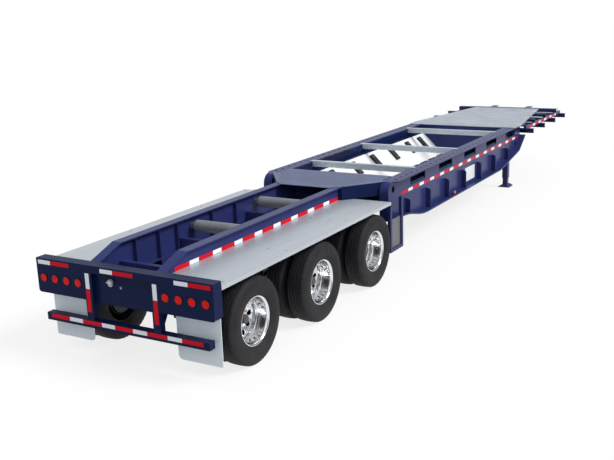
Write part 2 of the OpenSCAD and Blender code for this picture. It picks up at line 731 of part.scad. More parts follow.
// Tread-plate deck of the neck, tapered to the front
neck_deck_s = [well_s1 - 20, well_s1 + 380, length - 570];
neck_deck_y = [beam_out, half_w - 98, half_w - 495];
neck_deck_edge = [for (i = [0:2]) [neck_deck_s[i], neck_deck_y[i]]];
module neck_deck() color(silver) placed()
    translate([0, 0, top_z]) linear_extrude(deck_t)
        polygon(concat(neck_deck_edge, reversed(flipped(neck_deck_edge))));

// Bolster across the front of the neck deck
bolster_side = 80;
bolster_y = half_w - bolster_side;
bolster_d = 150;
bolster_t = 12;
bolster_h = 68;
module front_bolster() color(navy) placed() let (s = neck_deck_s[2]) {
    box([s, s + bolster_d], [-bolster_y, bolster_y], [top_z, top_z + bolster_t]);
    both_sides() for (y = [[0, neck_y - neck_flange / 2], [neck_y + neck_flange / 2, bolster_y]])
        box([s, s + bolster_t], y, [top_z - bolster_h, top_z]);
}

// Upper coupler plate with its turned-up front edge, bored for the kingpin
kingpin_s = length - kingpin_back;
kingpin_d = 50.8;
kingpin_boss = 12;
coupler_side = 25;
coupler_back = [1050, 950];
module coupler_plate() color(rubber) placed() difference() {
    long_plate(-neck_y - coupler_side, neck_y + coupler_side)
        polygon([[kingpin_s - coupler_back[0], coupler_z + coupler_t],
                 [kingpin_s - coupler_back[1], coupler_z],
                 [nose_s[0], coupler_z], [nose_s[1], coupler_z + nose_rise],
                 [nose_s[1], coupler_z + nose_rise + coupler_t], [nose_s[0], coupler_z + coupler_t]]);
    translate([kingpin_s, 0, coupler_z - past])
        cylinder(d = kingpin_d + 2 * kingpin_boss, h = coupler_t + 2 * past);
}

// Kingpin: collar, neck and the flange on the plate
collar_d = 71;
collar_z = [-84, -78, -48];
pin_flange_r = 90;
module kingpin() color(zinc) placed()
    translate([kingpin_s, 0, coupler_z]) rotate_extrude()
        let (n = kingpin_d / 2, c = collar_d / 2, b = n + kingpin_boss)
            polygon([[0, collar_z[0]], [c - 4, collar_z[0]], [c, collar_z[1]], [c, collar_z[2]],
                     [n, collar_z[2]], [n, 0], [b, 0], [b, coupler_t], [pin_flange_r, coupler_t],
                     [pin_flange_r, coupler_t + pin_flange_t], [0, coupler_t + pin_flange_t]]);

// Landing legs: outer tube, inner tube, foot and the bracket on the side beam
leg_s = well_s1 + leg_ahead;
leg_side = 183;
leg_y = web_y0 - leg_side;
leg_w = 120;
leg_inner = 100;
leg_low = 190;
leg_top = 60;
foot_half = [130, 120, 60];
foot_z = [14, 50];
bracket_z = [300, 80];
bracket_side = 40;
module landing_leg() {
    box([leg_s - leg_w / 2, leg_s + leg_w / 2], [leg_y - leg_w / 2, leg_y + leg_w / 2],
        [leg_low, top_z - leg_top]);
    box([leg_s - leg_inner / 2, leg_s + leg_inner / 2], [leg_y - leg_inner / 2, leg_y + leg_inner / 2],
        [foot_z[1], leg_low]);
    cross_plate(leg_s - foot_half[0], leg_s + foot_half[0])
        polygon([[leg_y - foot_half[1], 0], [leg_y + foot_half[1], 0], [leg_y + foot_half[1], foot_z[0]],
                 [leg_y + foot_half[2], foot_z[1]], [leg_y - foot_half[2], foot_z[1]],
                 [leg_y - foot_half[1], foot_z[0]]]);
    box([leg_s - leg_w / 2 - bracket_side, leg_s + leg_w / 2 + bracket_side], [leg_y + leg_w / 2, web_y0],
        [top_z - bracket_z[0], top_z - bracket_z[1]]);
}
module landing_legs() color(navy) placed() both_sides() landing_leg();

// Cross shaft, crank gearbox and raked braces of the landing gear
shaft_drop = 430;
shaft_z = top_z - shaft_drop;
shaft_r = 22;
gear = [90, 45, 65];
brace_in = [30, 18];
brace_leg_z = [500, 570];
module landing_brace() color(navy) placed() {
    cross_bar(leg_s, shaft_z, shaft_r, -leg_y + leg_w / 2, leg_y - leg_w / 2);
    box([leg_s + leg_w / 2, leg_s + leg_w / 2 + gear[0]], [-leg_y - gear[1], -leg_y + gear[1]],
        [shaft_z - gear[2], shaft_z + gear[2]]);
    both_sides() long_plate(leg_y - brace_in[0], leg_y - brace_in[1])
        polygon([[leg_s + leg_w / 2, brace_leg_z[0]], [leg_s + leg_w / 2, brace_leg_z[1]],
                 [outrigger_s[0] - outrigger_w / 2, outrigger_z],
                 [outrigger_s[0] + outrigger_w / 2, outrigger_z]]);
}

// Splash frames ahead of the front wheels, with their panels
frame_len = 460;
frame_d = 50;
frame_z = [330, 1120];
frame_y = beam_out + wall_gap;
splash_z = [400, 830];
splash_t = 8;
tab_t = 12;
module splash_frame() let (s1 = frame_s + frame_len) {
    for (s = [frame_s, s1 - frame_w]) box([s, s + frame_w], [frame_y, frame_y + frame_d], frame_z);
    box([frame_s + frame_w, s1 - frame_w], [frame_y, frame_y + frame_d], [frame_z[0], frame_z[0] + frame_d]);
    box([frame_s + frame_w, s1 - frame_w], [frame_y + tab_t, frame_y + tab_t + splash_t],
        [frame_z[0] + frame_d, splash_z[1]]);
    box([frame_s, frame_s + splash_t], [tyre_in, frame_y], [splash_z[0], rear_low]);
    box([frame_s, beam_s0 + flare_end], [frame_y - tab_t, frame_y], [rear_low - flange_t, rear_low]);
}
module splash_frames() color(navy) placed() both_sides() splash_frame();

// Twin tyres: crown, shoulders, bulging sides and beads
bulge = 33;
rim_half = half_t - bulge;
rim_lip = 12;
rim_bevel = 14;
bead_r = 286;
side_r = bead_r + 127;
tyre_line = rounded([[bead_r + seat, -rim_half + rim_bevel + 2 * seat, 0],
                     [bead_r + rim_lip + 2 * seat, -rim_half + seat, 0],
                     [bead_r + rim_lip + 6, -rim_half - 6, 0], [side_r, -half_t, 150],
                     [tyre_r - 34, -half_t + 22, 0], [tyre_r - 8, -half_t + 34, 0], [tyre_r, 0, 0]], 4);
tyre_inside = [[bead_r + seat, -rim_half + 34], [bead_r + 40, -rim_half + 16], [side_r, -half_t + 24],
               [tyre_r - 70, -half_t + 40], [tyre_r - 30, -half_t + 80]];
module tyre(y)
    translate([0, y, 0]) rotate([90, 0, 0]) rotate_extrude()
        polygon(concat(tyre_line, reversed(flipped(tyre_line)), flipped(tyre_inside), reversed(tyre_inside)));
module twin_tyres(s) color(rubber) placed() translate([s, 0, wheel_z]) { tyre(outer_y); tyre(inner_y); }

// Twin disc wheels on one hub with its brake drum; k is 1 for the outer wheel and -1 for the inner one
rim_t = 10;
disc_t = 16;
disc_in = 90;
disc_bend = 170;
well_r = bead_r - 36;
well_in = 62;
hub_r = 100;
hub_bore = spindle_r + 1;
cap_r = 60;
hand_holes = [10, 210, 30];
function rim_line(y, k) =
    [[bead_r + rim_lip, y + k * rim_half], [bead_r + rim_lip - 8, y + k * (rim_half + 4)],
     [bead_r - rim_t, y + k * (rim_half - rim_bevel)], [bead_r - rim_t - 6, y - k * well_in * 0.65],
     [well_r, y - k * well_in], [well_r, y - k * (rim_half + 6)], [disc_bend, mate_y + k * disc_t],
     [disc_in, mate_y + k * disc_t], [disc_in, mate_y], [disc_bend + 6, mate_y],
     [well_r + 14, y - k * (rim_half + 16)], [well_r + 14, y - k * well_in], [bead_r, y - k * 28],
     [bead_r, y + k * (rim_half - rim_bevel)]];
module turned() rotate([-90, 0, 0]) rotate_extrude() children();
module twin_wheel(s) color(silver) placed() translate([s, 0, wheel_z]) difference() {
    union() {
        for (k = [1, -1]) turned() polygon(rim_line(k == 1 ? outer_y : inner_y, k));
        turned()
            polygon([[hub_bore, mate_y - hub_half], [hub_r, mate_y - hub_half], [hub_r, mate_y + 40],
                     [hub_r - 14, mate_y + 90], [hub_r - 20, mate_y + hub_half],
                     [cap_r, mate_y + hub_half + 10], [hub_bore, mate_y + hub_half + 10]]);
        turned()
            polygon([[disc_in, mate_y - 30], [drum_r, mate_y - 44], [drum_r, drum_in], [drum_r - 14, drum_in],
                     [drum_r - 14, mate_y - 60], [disc_in, mate_y - 46]]);
        cross_bar(0, 0, cap_r, mate_y + spindle_end + spider_gap, mate_y + hub_half + 12);
    }
    for (i = [1:hand_holes[0]]) rotate([0, i * 360 / hand_holes[0], 0])
        cross_bar(hand_holes[1], 0, hand_holes[2], mate_y - 30, mate_y + 90);
}

module tyres_rear_left() twin_tyres(axles[0]);
module tyres_rear_right() mirror([0, 1, 0]) twin_tyres(axles[0]);
module tyres_mid_left() twin_tyres(axles[1]);
module tyres_mid_right() mirror([0, 1, 0]) twin_tyres(axles[1]);
module tyres_front_left() twin_tyres(axles[2]);
module tyres_front_right() mirror([0, 1, 0]) twin_tyres(axles[2]);
module wheel_rear_left() twin_wheel(axles[0]);
module wheel_rear_right() mirror([0, 1, 0]) twin_wheel(axles[0]);
module wheel_mid_left() twin_wheel(axles[1]);
module wheel_mid_right() mirror([0, 1, 0]) twin_wheel(axles[1]);
module wheel_front_left() twin_wheel(axles[2]);
module wheel_front_right() mirror([0, 1, 0]) twin_wheel(axles[2]);

rear_rails();
rear_crossmembers();
tail_header();
tail_lamps();
underride_guard();
mud_flaps();
fenders();
suspension_hangers();
trailing_arms();
air_springs();
axle_rear();
axle_mid();
axle_front();
brake_chambers();
air_tanks();
transition_deck();
well_rear_bulkhead();
side_beam_left();
side_beam_right();
top_flange_left();
top_flange_right();
well_trough();
well_liners();
trough_pads();
crossbars();
well_crossmembers();
well_front_bulkhead();
neck_frame();
neck_side_rails();
neck_deck();
front_bolster();
coupler_plate();
kingpin();
landing_legs();
landing_brace();
splash_frames();
tyres_rear_left();
tyres_rear_right();
tyres_mid_left();
tyres_mid_right();
tyres_front_left();
tyres_front_right();
wheel_rear_left();
wheel_rear_right();
wheel_mid_left();
wheel_mid_right();
wheel_front_left();
wheel_front_right();
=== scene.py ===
# %% [markdown]
# # A coil hauler trailer, dressed
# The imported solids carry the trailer's shapes and joints. This lesson gives them their finishes and adds
# what a solid model leaves out: tyre treads, polished wheels, reflective tape, lamp lenses, tread plate,
# fasteners and welds. Everything is in metres: X runs to the kingpin end, Y to the left, Z up.

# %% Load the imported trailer
import json

import bmesh
import bpy
import numpy as np
from mathutils import Matrix


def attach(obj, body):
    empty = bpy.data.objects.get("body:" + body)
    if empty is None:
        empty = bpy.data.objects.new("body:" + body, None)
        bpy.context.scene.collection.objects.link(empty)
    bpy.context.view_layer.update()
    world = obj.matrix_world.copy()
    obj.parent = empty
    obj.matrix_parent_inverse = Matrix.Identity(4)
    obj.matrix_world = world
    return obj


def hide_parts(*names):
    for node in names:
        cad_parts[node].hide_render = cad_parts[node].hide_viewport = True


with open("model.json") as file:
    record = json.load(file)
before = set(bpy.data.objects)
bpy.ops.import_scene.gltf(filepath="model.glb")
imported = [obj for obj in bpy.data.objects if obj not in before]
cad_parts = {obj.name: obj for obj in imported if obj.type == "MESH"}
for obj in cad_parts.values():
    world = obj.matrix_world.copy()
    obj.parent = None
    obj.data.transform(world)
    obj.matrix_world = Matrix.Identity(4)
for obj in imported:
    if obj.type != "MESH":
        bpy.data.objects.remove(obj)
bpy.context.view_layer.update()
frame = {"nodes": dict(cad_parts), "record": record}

# %% [markdown]
# ## Shapes as arrays
# A piece here is points and faces worked out as whole numpy arrays. Each shape is made once in its own small
# frame (u, v, n) and then set in place many times, so a bolt is described once. A frame's columns are the
# directions of u, v and n, and n points out of the surface.

# %% Frames and grids
FACING = {
    "rear": np.array([[0, 0, -1], [-1, 0, 0], [0, 1, 0]], float),
    "front": np.array([[0, 0, 1], [1, 0, 0], [0, 1, 0]], float),
    "right": np.array([[1, 0, 0], [0, 0, -1], [0, 1, 0]], float),
    "left": np.array([[-1, 0, 0], [0, 0, 1], [0, 1, 0]], float),
    "up": np.eye(3),
}
SIDES = (("left", 1), ("right", -1))
ASKEW = np.array([0.31, 0.17, 0.94])


def grid_faces(rows, columns, wrap_rows=True, wrap_columns=False):
    """Quads between neighbours of a rows x columns grid; a wrapped way joins its end to its start."""
    index = np.arange(rows * columns).reshape(rows, columns)
    nxt = np.roll(index, -1, 0)
    quads = np.stack([index, np.roll(index, -1, 1), np.roll(nxt, -1, 1), nxt], -1)
    quads = quads if wrap_rows else quads[:-1]
    quads = quads if wrap_columns else quads[:, :-1]
    return quads.reshape(-1, 4)


print("frames:", ", ".join(FACING))

# %% [markdown]
# Three forms cover nearly all pieces: a profile turned about an axis, an outline raised off a surface, and a
# round section carried along a path. They could be drawn by hand, but a formula keeps every copy exact.

# %% Three forms
def turned(radius, height, turns):
    """Turns a profile about n: u = r cos a, v = r sin a, n = h. r and h may be rows, one for each angle a.

    A profile that starts and ends on the axis closes there; any other is a loop that joins its own start.
    """
    radius, height = (np.broadcast_to(p, (turns, np.shape(p)[-1])) for p in (radius, height))
    angle = np.arange(turns)[:, None] * 2 * np.pi / turns
    points = np.stack([radius * np.cos(angle), radius * np.sin(angle), height], -1)
    loop = radius[:, [0, -1]].max() > 0
    return points.reshape(-1, 3), [grid_faces(turns, radius.shape[1], True, loop)]


def raised(outline, rise, bevel=0.3):
    """A closed slab: the outline at n = 0 and at the rim, drawn in by the bevel to a top at n = rise."""
    outline = np.asarray(outline, float)
    count = len(outline)
    middle = outline.mean(0)
    reach = np.linalg.norm(outline - middle, axis=1, keepdims=True)
    inner = middle + (outline - middle) * (1 - np.minimum(bevel * rise / reach, 0.9))
    rings = [np.column_stack([line, np.full(count, h)])
             for line, h in ((outline, 0), (outline, rise * (1 - bevel)), (inner, rise))]
    step = np.arange(count)
    ends = [step[None, ::-1], step[None] + 2 * count]
    return np.concatenate(rings), [grid_faces(3, count, False, True), *ends]


def rectangle(width, height):
    """Corners of a rectangle about the middle, counter-clockwise."""
    return np.array([[-1, -1], [1, -1], [1, 1], [-1, 1]]) * np.array([width, height]) / 2


def ngon(count, radius, squash=1.0):
    """Points round a circle, or round an oval where squash is under 1: (r cos a, squash r sin a)."""
    angle = (np.arange(count) + 0.5) * 2 * np.pi / count
    return np.column_stack([radius * np.cos(angle), squash * radius * np.sin(angle)])


def tube(path, radius, sides=10):
    """A round section along a path: each ring is p + r (cos a s + sin a t), s and t across the path."""
    path = np.asarray(path, float)
    radius = np.broadcast_to(radius, len(path))[:, None, None]
    along = np.gradient(path, axis=0)
    along /= np.linalg.norm(along, axis=1, keepdims=True)
    across = np.cross(along, ASKEW)
    across /= np.linalg.norm(across, axis=1, keepdims=True)
    third = np.cross(along, across)
    angle = np.arange(sides) * 2 * np.pi / sides
    rings = (path[:, None] + radius * (np.cos(angle)[None, :, None] * across[:, None]
                                       + np.sin(angle)[None, :, None] * third[:, None]))
    ends = np.arange(sides)
    return rings.reshape(-1, 3), [grid_faces(len(path), sides, False, True), ends[None, ::-1],
                                  ends[None] + (len(path) - 1) * sides]


print("corners of a hexagon:", ngon(6, 1.0).round(2).tolist())

# %% [markdown]
# A shape is set at all its places in one step, and a line with rounded corners gives profiles soft edges.

# %% Places and rounded lines
def toward(n):
    """A frame whose n column is the given direction."""
    n = np.asarray(n, float) / np.linalg.norm(n)
    u = np.cross(ASKEW, n)
    u /= np.linalg.norm(u)
    return np.column_stack([u, np.cross(n, u), n])


def copies(shape, places, frames=FACING["up"]):
    """Sets a shape at many places at once: every point is turned by the place's frame and moved there."""
    points, faces = shape
    places = np.atleast_2d(np.asarray(places, float))
    frames = np.broadcast_to(frames, (len(places), 3, 3))
    moved = np.einsum("mij,kj->mki", frames, points) + places[:, None]
    start = (np.arange(len(places)) * len(points))[:, None, None]
    return moved.reshape(-1, 3), [(f[None] + start).reshape(-1, f.shape[1]) for f in faces]


def rounded_line(points, reach, steps=4):
    """A line with rounded corners: each becomes a quadratic curve from reach before it to reach after."""
    points = np.asarray(points, float)
    line = [points[:1]]
    t = np.linspace(0, 1, steps)[:, None]
    for before, corner, after in zip(points, points[1:], points[2:]):
        a, b = before - corner, after - corner
        la, lb = np.linalg.norm(a), np.linalg.norm(b)
        a, b = corner + a / la * min(reach, la * 0.45), corner + b / lb * min(reach, lb * 0.45)
        line.append((1 - t) ** 2 * a + 2 * t * (1 - t) * corner + t ** 2 * b)
    return np.concatenate(line + [points[-1:]])


print("points of a rounded right angle:", len(rounded_line([(1, 0), (0, 0), (0, 1)], 0.1)))

# %% [markdown]
# ## From arrays to pieces
# One function joins shapes into a mesh, merges the points that meet at seams and poles, turns the faces
# outwards, marks sharp edges by angle and lets the piece ride on its body.

# %% Make a piece
MERGE, SHARP = 2e-5, np.radians(32)
made = []


def piece(name, shapes, finish, body="chassis"):
    """Joins shapes into one mesh object with a finish, riding on a body."""
    start, points, faces = 0, [], []
    for p, groups in shapes:
        points.append(p)
        faces += [face for g in groups for face in (g + start).tolist()]
        start += len(p)
    mesh = bpy.data.meshes.new(name)
    mesh.from_pydata(np.concatenate(points).tolist(), [], faces)
    work = bmesh.new()
    work.from_mesh(mesh)
    bmesh.ops.remove_doubles(work, verts=work.verts, dist=MERGE)
    bmesh.ops.recalc_face_normals(work, faces=work.faces)
    work.to_mesh(mesh)
    work.free()
    mesh.materials.append(finish)
    mesh.shade_smooth()
    mesh.set_sharp_from_angle(angle=SHARP)
    thing = bpy.data.objects.new(name, mesh)
    bpy.context.scene.collection.objects.link(thing)
    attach(thing, body)
    mesh.calc_loop_triangles()
    made.append((name, len(mesh.loop_triangles)))
    return thing


print("points merge within", MERGE, "m")

# %% [markdown]
# ## Finishes
# Paint, metal and rubber are never one flat colour. Each finish starts from one recipe on object
# coordinates: broad noise shades the colour, fine noise changes the roughness and gives a shallow bump, and
# road dust gathers towards the ground. Zinc flakes, rolled streaks and tape cells are added where they
# belong. A finish could also come from pictures, but noise has no seams, needs no files and looks right at
# any distance.

# %% The shared recipe
DUST_Z, DUST_RGB, BUMP_STRENGTH = (0.05, 0.60), (112, 104, 92), 0.4


def tone(r, g, b):
    """A screen colour from 0 to 255 as linear light: c / 12.92, or ((c + 0.055) / 1.055) to the power 2.4."""
    c = np.array([r, g, b]) / 255
    return tuple(np.where(c < 0.04045, c / 12.92, ((c + 0.055) / 1.055) ** 2.4)) + (1.0,)


def finish(name, colour, rough, metal=0.0, specular=0.5, shade=0.12, patch=2.5, grain=70.0,
           rough_by=0.08, relief=0.0003, stretch=(1, 1, 1), dust=0.0, cells=0.0, cell_relief=0.0):
    """One finish: noise between two shades, roughness by fine noise, bump, and dust below knee height."""
    made_of = bpy.data.materials.new(name)
    made_of.use_nodes = True
    tree = made_of.node_tree
    shader = tree.nodes["Principled BSDF"]
    shader.inputs["Metallic"].default_value = metal
    shader.inputs["Specular IOR Level"].default_value = specular

    def add(kind, **values):
        node = tree.nodes.new(kind)
        for key, value in values.items():
            setattr(node, key, value)
        return node

    place = add("ShaderNodeTexCoord").outputs["Object"]
    mapping = add("ShaderNodeMapping")
    mapping.inputs["Scale"].default_value = stretch
    tree.links.new(place, mapping.inputs["Vector"])

    def noise(scale, detail):
        node = add("ShaderNodeTexNoise")
        node.inputs["Scale"].default_value = scale
        node.inputs["Detail"].default_value = detail
        tree.links.new(mapping.outputs["Vector"], node.inputs["Vector"])
        return node.outputs["Fac"]

    def ranged(value, low, high, to_low, to_high):
        node = add("ShaderNodeMapRange")
        for key, number in (("From Min", low), ("From Max", high), ("To Min", to_low), ("To Max", to_high)):
            node.inputs[key].default_value = number
        tree.links.new(value, node.inputs["Value"])
        return node.outputs["Result"]

    def mixed(factor, a, b):
        node = add("ShaderNodeMix", data_type="RGBA")
        tree.links.new(factor, node.inputs[0])
        for socket, value in ((node.inputs[6], a), (node.inputs[7], b)):
            if isinstance(value, tuple):
                socket.default_value = value
            else:
                tree.links.new(value, socket)
        return node.outputs[2]

    broad, fine = noise(patch, 5.0), noise(grain, 3.0)
    dark, light = (tuple(np.clip(np.array(colour[:3]) * (1 + s), 0, 1)) + (1.0,) for s in (-shade, shade))
    base = mixed(ranged(broad, 0.35, 0.65, 0, 1), dark, light)
    height = fine
    if cells:
        voronoi = add("ShaderNodeTexVoronoi")
        voronoi.inputs["Scale"].default_value = cells
        tree.links.new(place, voronoi.inputs["Vector"])
        value = add("ShaderNodeSeparateColor")
        tree.links.new(voronoi.outputs["Color"], value.inputs["Color"])
        base = mixed(ranged(value.outputs["Red"], 0, 1, 0, 0.5), base, light)
        if cell_relief:
            height = voronoi.outputs["Distance"]
            relief = cell_relief
    if dust:
        split = add("ShaderNodeSeparateXYZ")
        tree.links.new(place, split.inputs["Vector"])
        near = add("ShaderNodeMath", operation="MULTIPLY")
        tree.links.new(ranged(split.outputs["Z"], *DUST_Z, dust, 0.0), near.inputs[0])
        tree.links.new(ranged(broad, 0.3, 0.7, 0.3, 1.0), near.inputs[1])
        base = mixed(near.outputs["Value"], base, tone(*DUST_RGB))
    tree.links.new(base, shader.inputs["Base Color"])
    tree.links.new(ranged(fine, 0.3, 0.7, max(rough - rough_by, 0.02), min(rough + rough_by, 1)),
                   shader.inputs["Roughness"])
    bump = add("ShaderNodeBump")
    bump.inputs["Strength"].default_value = BUMP_STRENGTH
    bump.inputs["Distance"].default_value = relief
    tree.links.new(height, bump.inputs["Height"])
    tree.links.new(bump.outputs["Normal"], shader.inputs["Normal"])
    return made_of


print("dust fades out at", DUST_Z[1], "m")

# %% [markdown]
# The imported record names a slot for each solid, so one finish for each slot dresses them all. The tail
# header, the guard and the inner walls of the well get a darker copy of the same navy, painted shade for
# faces turned away from the sun, so they have a finish of their own, given to those nodes by name.

# %% Finishes of the solids
NAVY = finish("navy_gloss_paint", tone(44, 51, 101), 0.26, specular=0.12, shade=0.08, patch=1.6, dust=0.1,
              grain=160.0, rough_by=0.06, relief=0.0002)
# Painted shade: the same navy made darker for the tail and the well's inner walls, which stand out of the
# sun.
SHADED_NAVY = finish("navy_painted_shade", tone(18, 30, 68), 0.30, specular=0.06, shade=0.08, patch=1.6, dust=0.06,
                   grain=160.0, rough_by=0.06, relief=0.0002)
SHADE_PAINTED_NODES = ("tail_header", "underride_guard", "well_liners", "well_rear_bulkhead")
SLOT_FINISH = {
    "navy_paint": NAVY,
    "fender_sheet": finish("rolled_fender_sheet", tone(196, 202, 208), 0.4, metal=0.5, shade=0.03,
                           stretch=(0.5, 3, 3), grain=40.0, rough_by=0.06),
    "deck_plate": finish("painted_tread_plate", tone(74, 86, 124), 0.34, specular=0.5, shade=0.14, patch=4.0,
                         grain=45.0, relief=0.0006),
    "neck_plate": finish("bright_tread_plate", tone(180, 187, 196), 0.36, metal=0.6, shade=0.1, patch=4.0,
                         grain=45.0, relief=0.0006),
    "galvanised": finish("zinc_spangle", tone(188, 199, 210), 0.45, metal=0.3, shade=0.12, cells=55.0,
                         relief=0.0002),
    "white_paint": finish("white_trough_paint", tone(232, 233, 233), 0.38, shade=0.06, patch=3.0,
                          relief=0.0003),
    "black_rubber": finish("pad_rubber", tone(38, 38, 41), 0.72, specular=0.3, shade=0.25, patch=9.0,
                           relief=0.0008),
    "black_paint": finish("chassis_black", tone(30, 31, 34), 0.42, specular=0.35, shade=0.2, dust=0.35),
    "grey_paint": finish("tank_grey_paint", tone(118, 121, 126), 0.42, shade=0.1, dust=0.2),
    "lamp_red": finish("lamp_red_plastic", tone(226, 18, 20), 0.2, specular=0.12, shade=0.06, relief=0.0001),
    "flap_sheet": finish("pale_flap_sheet", tone(234, 244, 255), 0.48, specular=0.35, shade=0.05, dust=0.12),
    "tyre_rubber": finish("road_tyre_rubber", tone(32, 32, 36), 0.7, specular=0.3, shade=0.18, patch=7.0,
                          relief=0.0006, dust=0.07),
    "polished_wheel": finish("polished_wheel_metal", tone(230, 231, 233), 0.13, metal=1.0, shade=0.04,
                             rough_by=0.04, relief=0.00005),
    "bare_steel": finish("bare_greased_steel", tone(122, 122, 124), 0.4, metal=0.9, shade=0.18, patch=8.0),
}
slot_of = {row["node"]: row["material_slot"] for row in frame["record"]["subparts"]}
for node, solid in frame["nodes"].items():
    solid.data.materials[0] = SHADED_NAVY if node in SHADE_PAINTED_NODES else SLOT_FINISH[slot_of[node]]
print("slots finished:", len(SLOT_FINISH), "darker nodes:", len(SHADE_PAINTED_NODES))

# %% [markdown]
# ## Tyres
# A highway trailer tyre has a wide, nearly flat tread of five ribs, zigzag grooves between them, notched
# shoulders and a bulging side wall. All of it is one profile turned about the axle. The profile changes with
# the angle: a triangle wave sways the grooves and every fourth step cuts a shoulder notch.

# %% Tyre surface
AXLE_X = {"rear": -6.475, "mid": -4.900, "front": -3.325}
AXLE_Z, OUTER_Y, INNER_Y, MATE_Y = 0.530, 1.149, 0.831, 0.990
TYRE_R, TREAD_HALF, STEPS = 0.530, 0.104, 216
CROWN, SWAY, SWAY_HALF, SWAY_FROM = 0.0065, 0.0035, 0.075, 0.5
NOTCH, NOTCH_AT, NOTCH_HALF, NOTCH_FROM = 0.010, 0.103, 0.0075, 0.51
RING_RISE, RINGS, WALL_MAX = 0.0016, ((0.338, 0.006), (0.468, 0.007)), 0.138


def tyre(middle):
    """Radius and offset along the profile: side wall, ribs, side wall.

    Over the ribs r = R - CROWN (y / half)^2, less the grooves. A bell curve lifts each moulded ring of the
    side wall.
    """
    wall = rounded_line([(0.289, 0.088), (0.2985, 0.1062), (0.306, 0.1125), (0.352, 0.1275), (0.413, 0.1385),
                         (0.462, 0.1335), (0.497, 0.1195), (0.5165, 0.1085)], 0.03, 6)
    ring = RING_RISE * sum(np.exp(-((wall[:, 0] - at) / wide) ** 2) for at, wide in RINGS)
    wall = np.column_stack([wall[:, 0], np.minimum(wall[:, 1] + ring, WALL_MAX)])
    groove, lip, depth = 0.0042, 0.0015, 0.013
    mids = np.array([0.066, 0.024, -0.024, -0.066])
    across = np.array([groove + lip, groove, -groove, -groove - lip])
    shoulder = np.array([TREAD_HALF, 0.097, 0.083])
    y = np.concatenate([shoulder, (mids[:, None] + across).ravel(), -shoulder[::-1]])
    cut = np.concatenate([[0.003, 0, 0], np.tile([0, depth, depth, 0], 4), [0, 0, 0.003]])
    crown = TYRE_R - CROWN * (y / TREAD_HALF) ** 2 - cut
    radius = np.concatenate([wall[:, 0], crown, wall[::-1, 0]])
    offset = np.concatenate([wall[:, 1], y, -wall[::-1, 1]])
    step = np.arange(STEPS)[:, None]
    swayed = (np.abs(offset) < SWAY_HALF) * (radius > SWAY_FROM)
    sway = SWAY * np.array([0, 1, 0, -1])[step % 4] * swayed
    notched = (np.abs(np.abs(offset) - NOTCH_AT) < NOTCH_HALF) * (radius > NOTCH_FROM)
    notch = NOTCH * (step % 4 == 0) * notched
    return turned(radius - notch, middle + offset + sway, STEPS)


for place, x in AXLE_X.items():
    for side, _ in SIDES:
        at = (x, 0, AXLE_Z)
        rubber = piece(f"tread_tyres_{place}_{side}",
                       [copies(tyre(y), at, FACING[side]) for y in (OUTER_Y, INNER_Y)],
                       SLOT_FINISH["tyre_rubber"], f"wheels_{place}_{side}")
        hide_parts(f"tyres_{place}_{side}")
print(made[-1])

# %% [markdown]
# ## Polished wheels
# The outer wheel of a twin pair is dished deep, with ten round hand holes. A turned profile can't have
# holes, so the holed cone is ten patches: loops that start round a hole and widen to the sector's border,
# worked out in (angle, radius) and lifted on to the cone. The same loops set back make the inner face.

# %% The dished wheel with hand holes
HOLES, HOLE_AT, HOLE_R = 10, 0.210, 0.032
CONE_IN, CONE_OUT, DISC_T = 0.174, 0.247, 0.017
CONE_FOOT, CONE_FOOT_R, CONE_RISE, HOLE_EDGE = 1.006, 0.170, 0.4, 0.003
SECTOR_STEPS, SIDE_STEPS = 12, 5


def cone(radius):
    """Height of the wheel's holed cone at a radius: a straight rise of 32 mm over 80 mm."""
    return CONE_FOOT + CONE_RISE * (radius - CONE_FOOT_R)


def holed_cone():
    """Loops p = (1 - w) hole + w border for w from 0 to 1, in each sector, on the front and the back face."""
    half = np.pi / HOLES
    across = np.linspace(-half, half, SECTOR_STEPS + 1)[:-1]
    up = np.linspace(CONE_IN, CONE_OUT, SIDE_STEPS + 1)[:-1]
    border = np.concatenate([np.column_stack([across, np.full(SECTOR_STEPS, CONE_IN)]),
                             np.column_stack([np.full(SIDE_STEPS, half), up]),
                             np.column_stack([-across, np.full(SECTOR_STEPS, CONE_OUT)]),
                             np.column_stack([np.full(SIDE_STEPS, -half), CONE_OUT + CONE_IN - up])])
    lean = np.arctan2(border[:, 1] - HOLE_AT, border[:, 0] * HOLE_AT)
    count = len(border)

    def loop(r):
        return np.column_stack([r * np.cos(lean) / HOLE_AT, HOLE_AT + r * np.sin(lean)])

    rim, weights = loop(HOLE_R + 0.002), np.array([0, 0.3, 0.65, 1])[:, None, None]
    face = rim + weights * (border - rim)
    loops = np.concatenate([face[::-1], [loop(HOLE_R)], [loop(HOLE_R)], face])
    rows = len(loops)
    drop = np.array([0] * 4 + [HOLE_EDGE, DISC_T - HOLE_EDGE] + [DISC_T] * 4)
    theta, radius = loops[..., 0], loops[..., 1]
    height = cone(radius) - drop[:, None]
    angle = theta[None] + (np.arange(HOLES) * 2 * half)[:, None, None]
    points = np.stack(np.broadcast_arrays(radius * np.cos(angle), radius * np.sin(angle), height), -1)
    quads = grid_faces(rows, count, False, True)
    start = (np.arange(HOLES) * rows * count)[:, None, None]
    return points.reshape(-1, 3), [(quads[None] + start).reshape(-1, 4)]


def open_ring(line):
    """A turned strip whose two ends stay open, so that the holed cone can close it."""
    turns = HOLES * SECTOR_STEPS
    angle = (np.arange(turns) * 2 * np.pi / turns + np.pi / HOLES)[:, None]
    radius, height = line[:, 0], line[:, 1]
    points = np.stack(np.broadcast_arrays(radius * np.cos(angle), radius * np.sin(angle), height), -1)
    return points.reshape(-1, 3), [grid_faces(turns, len(line), True, False)]


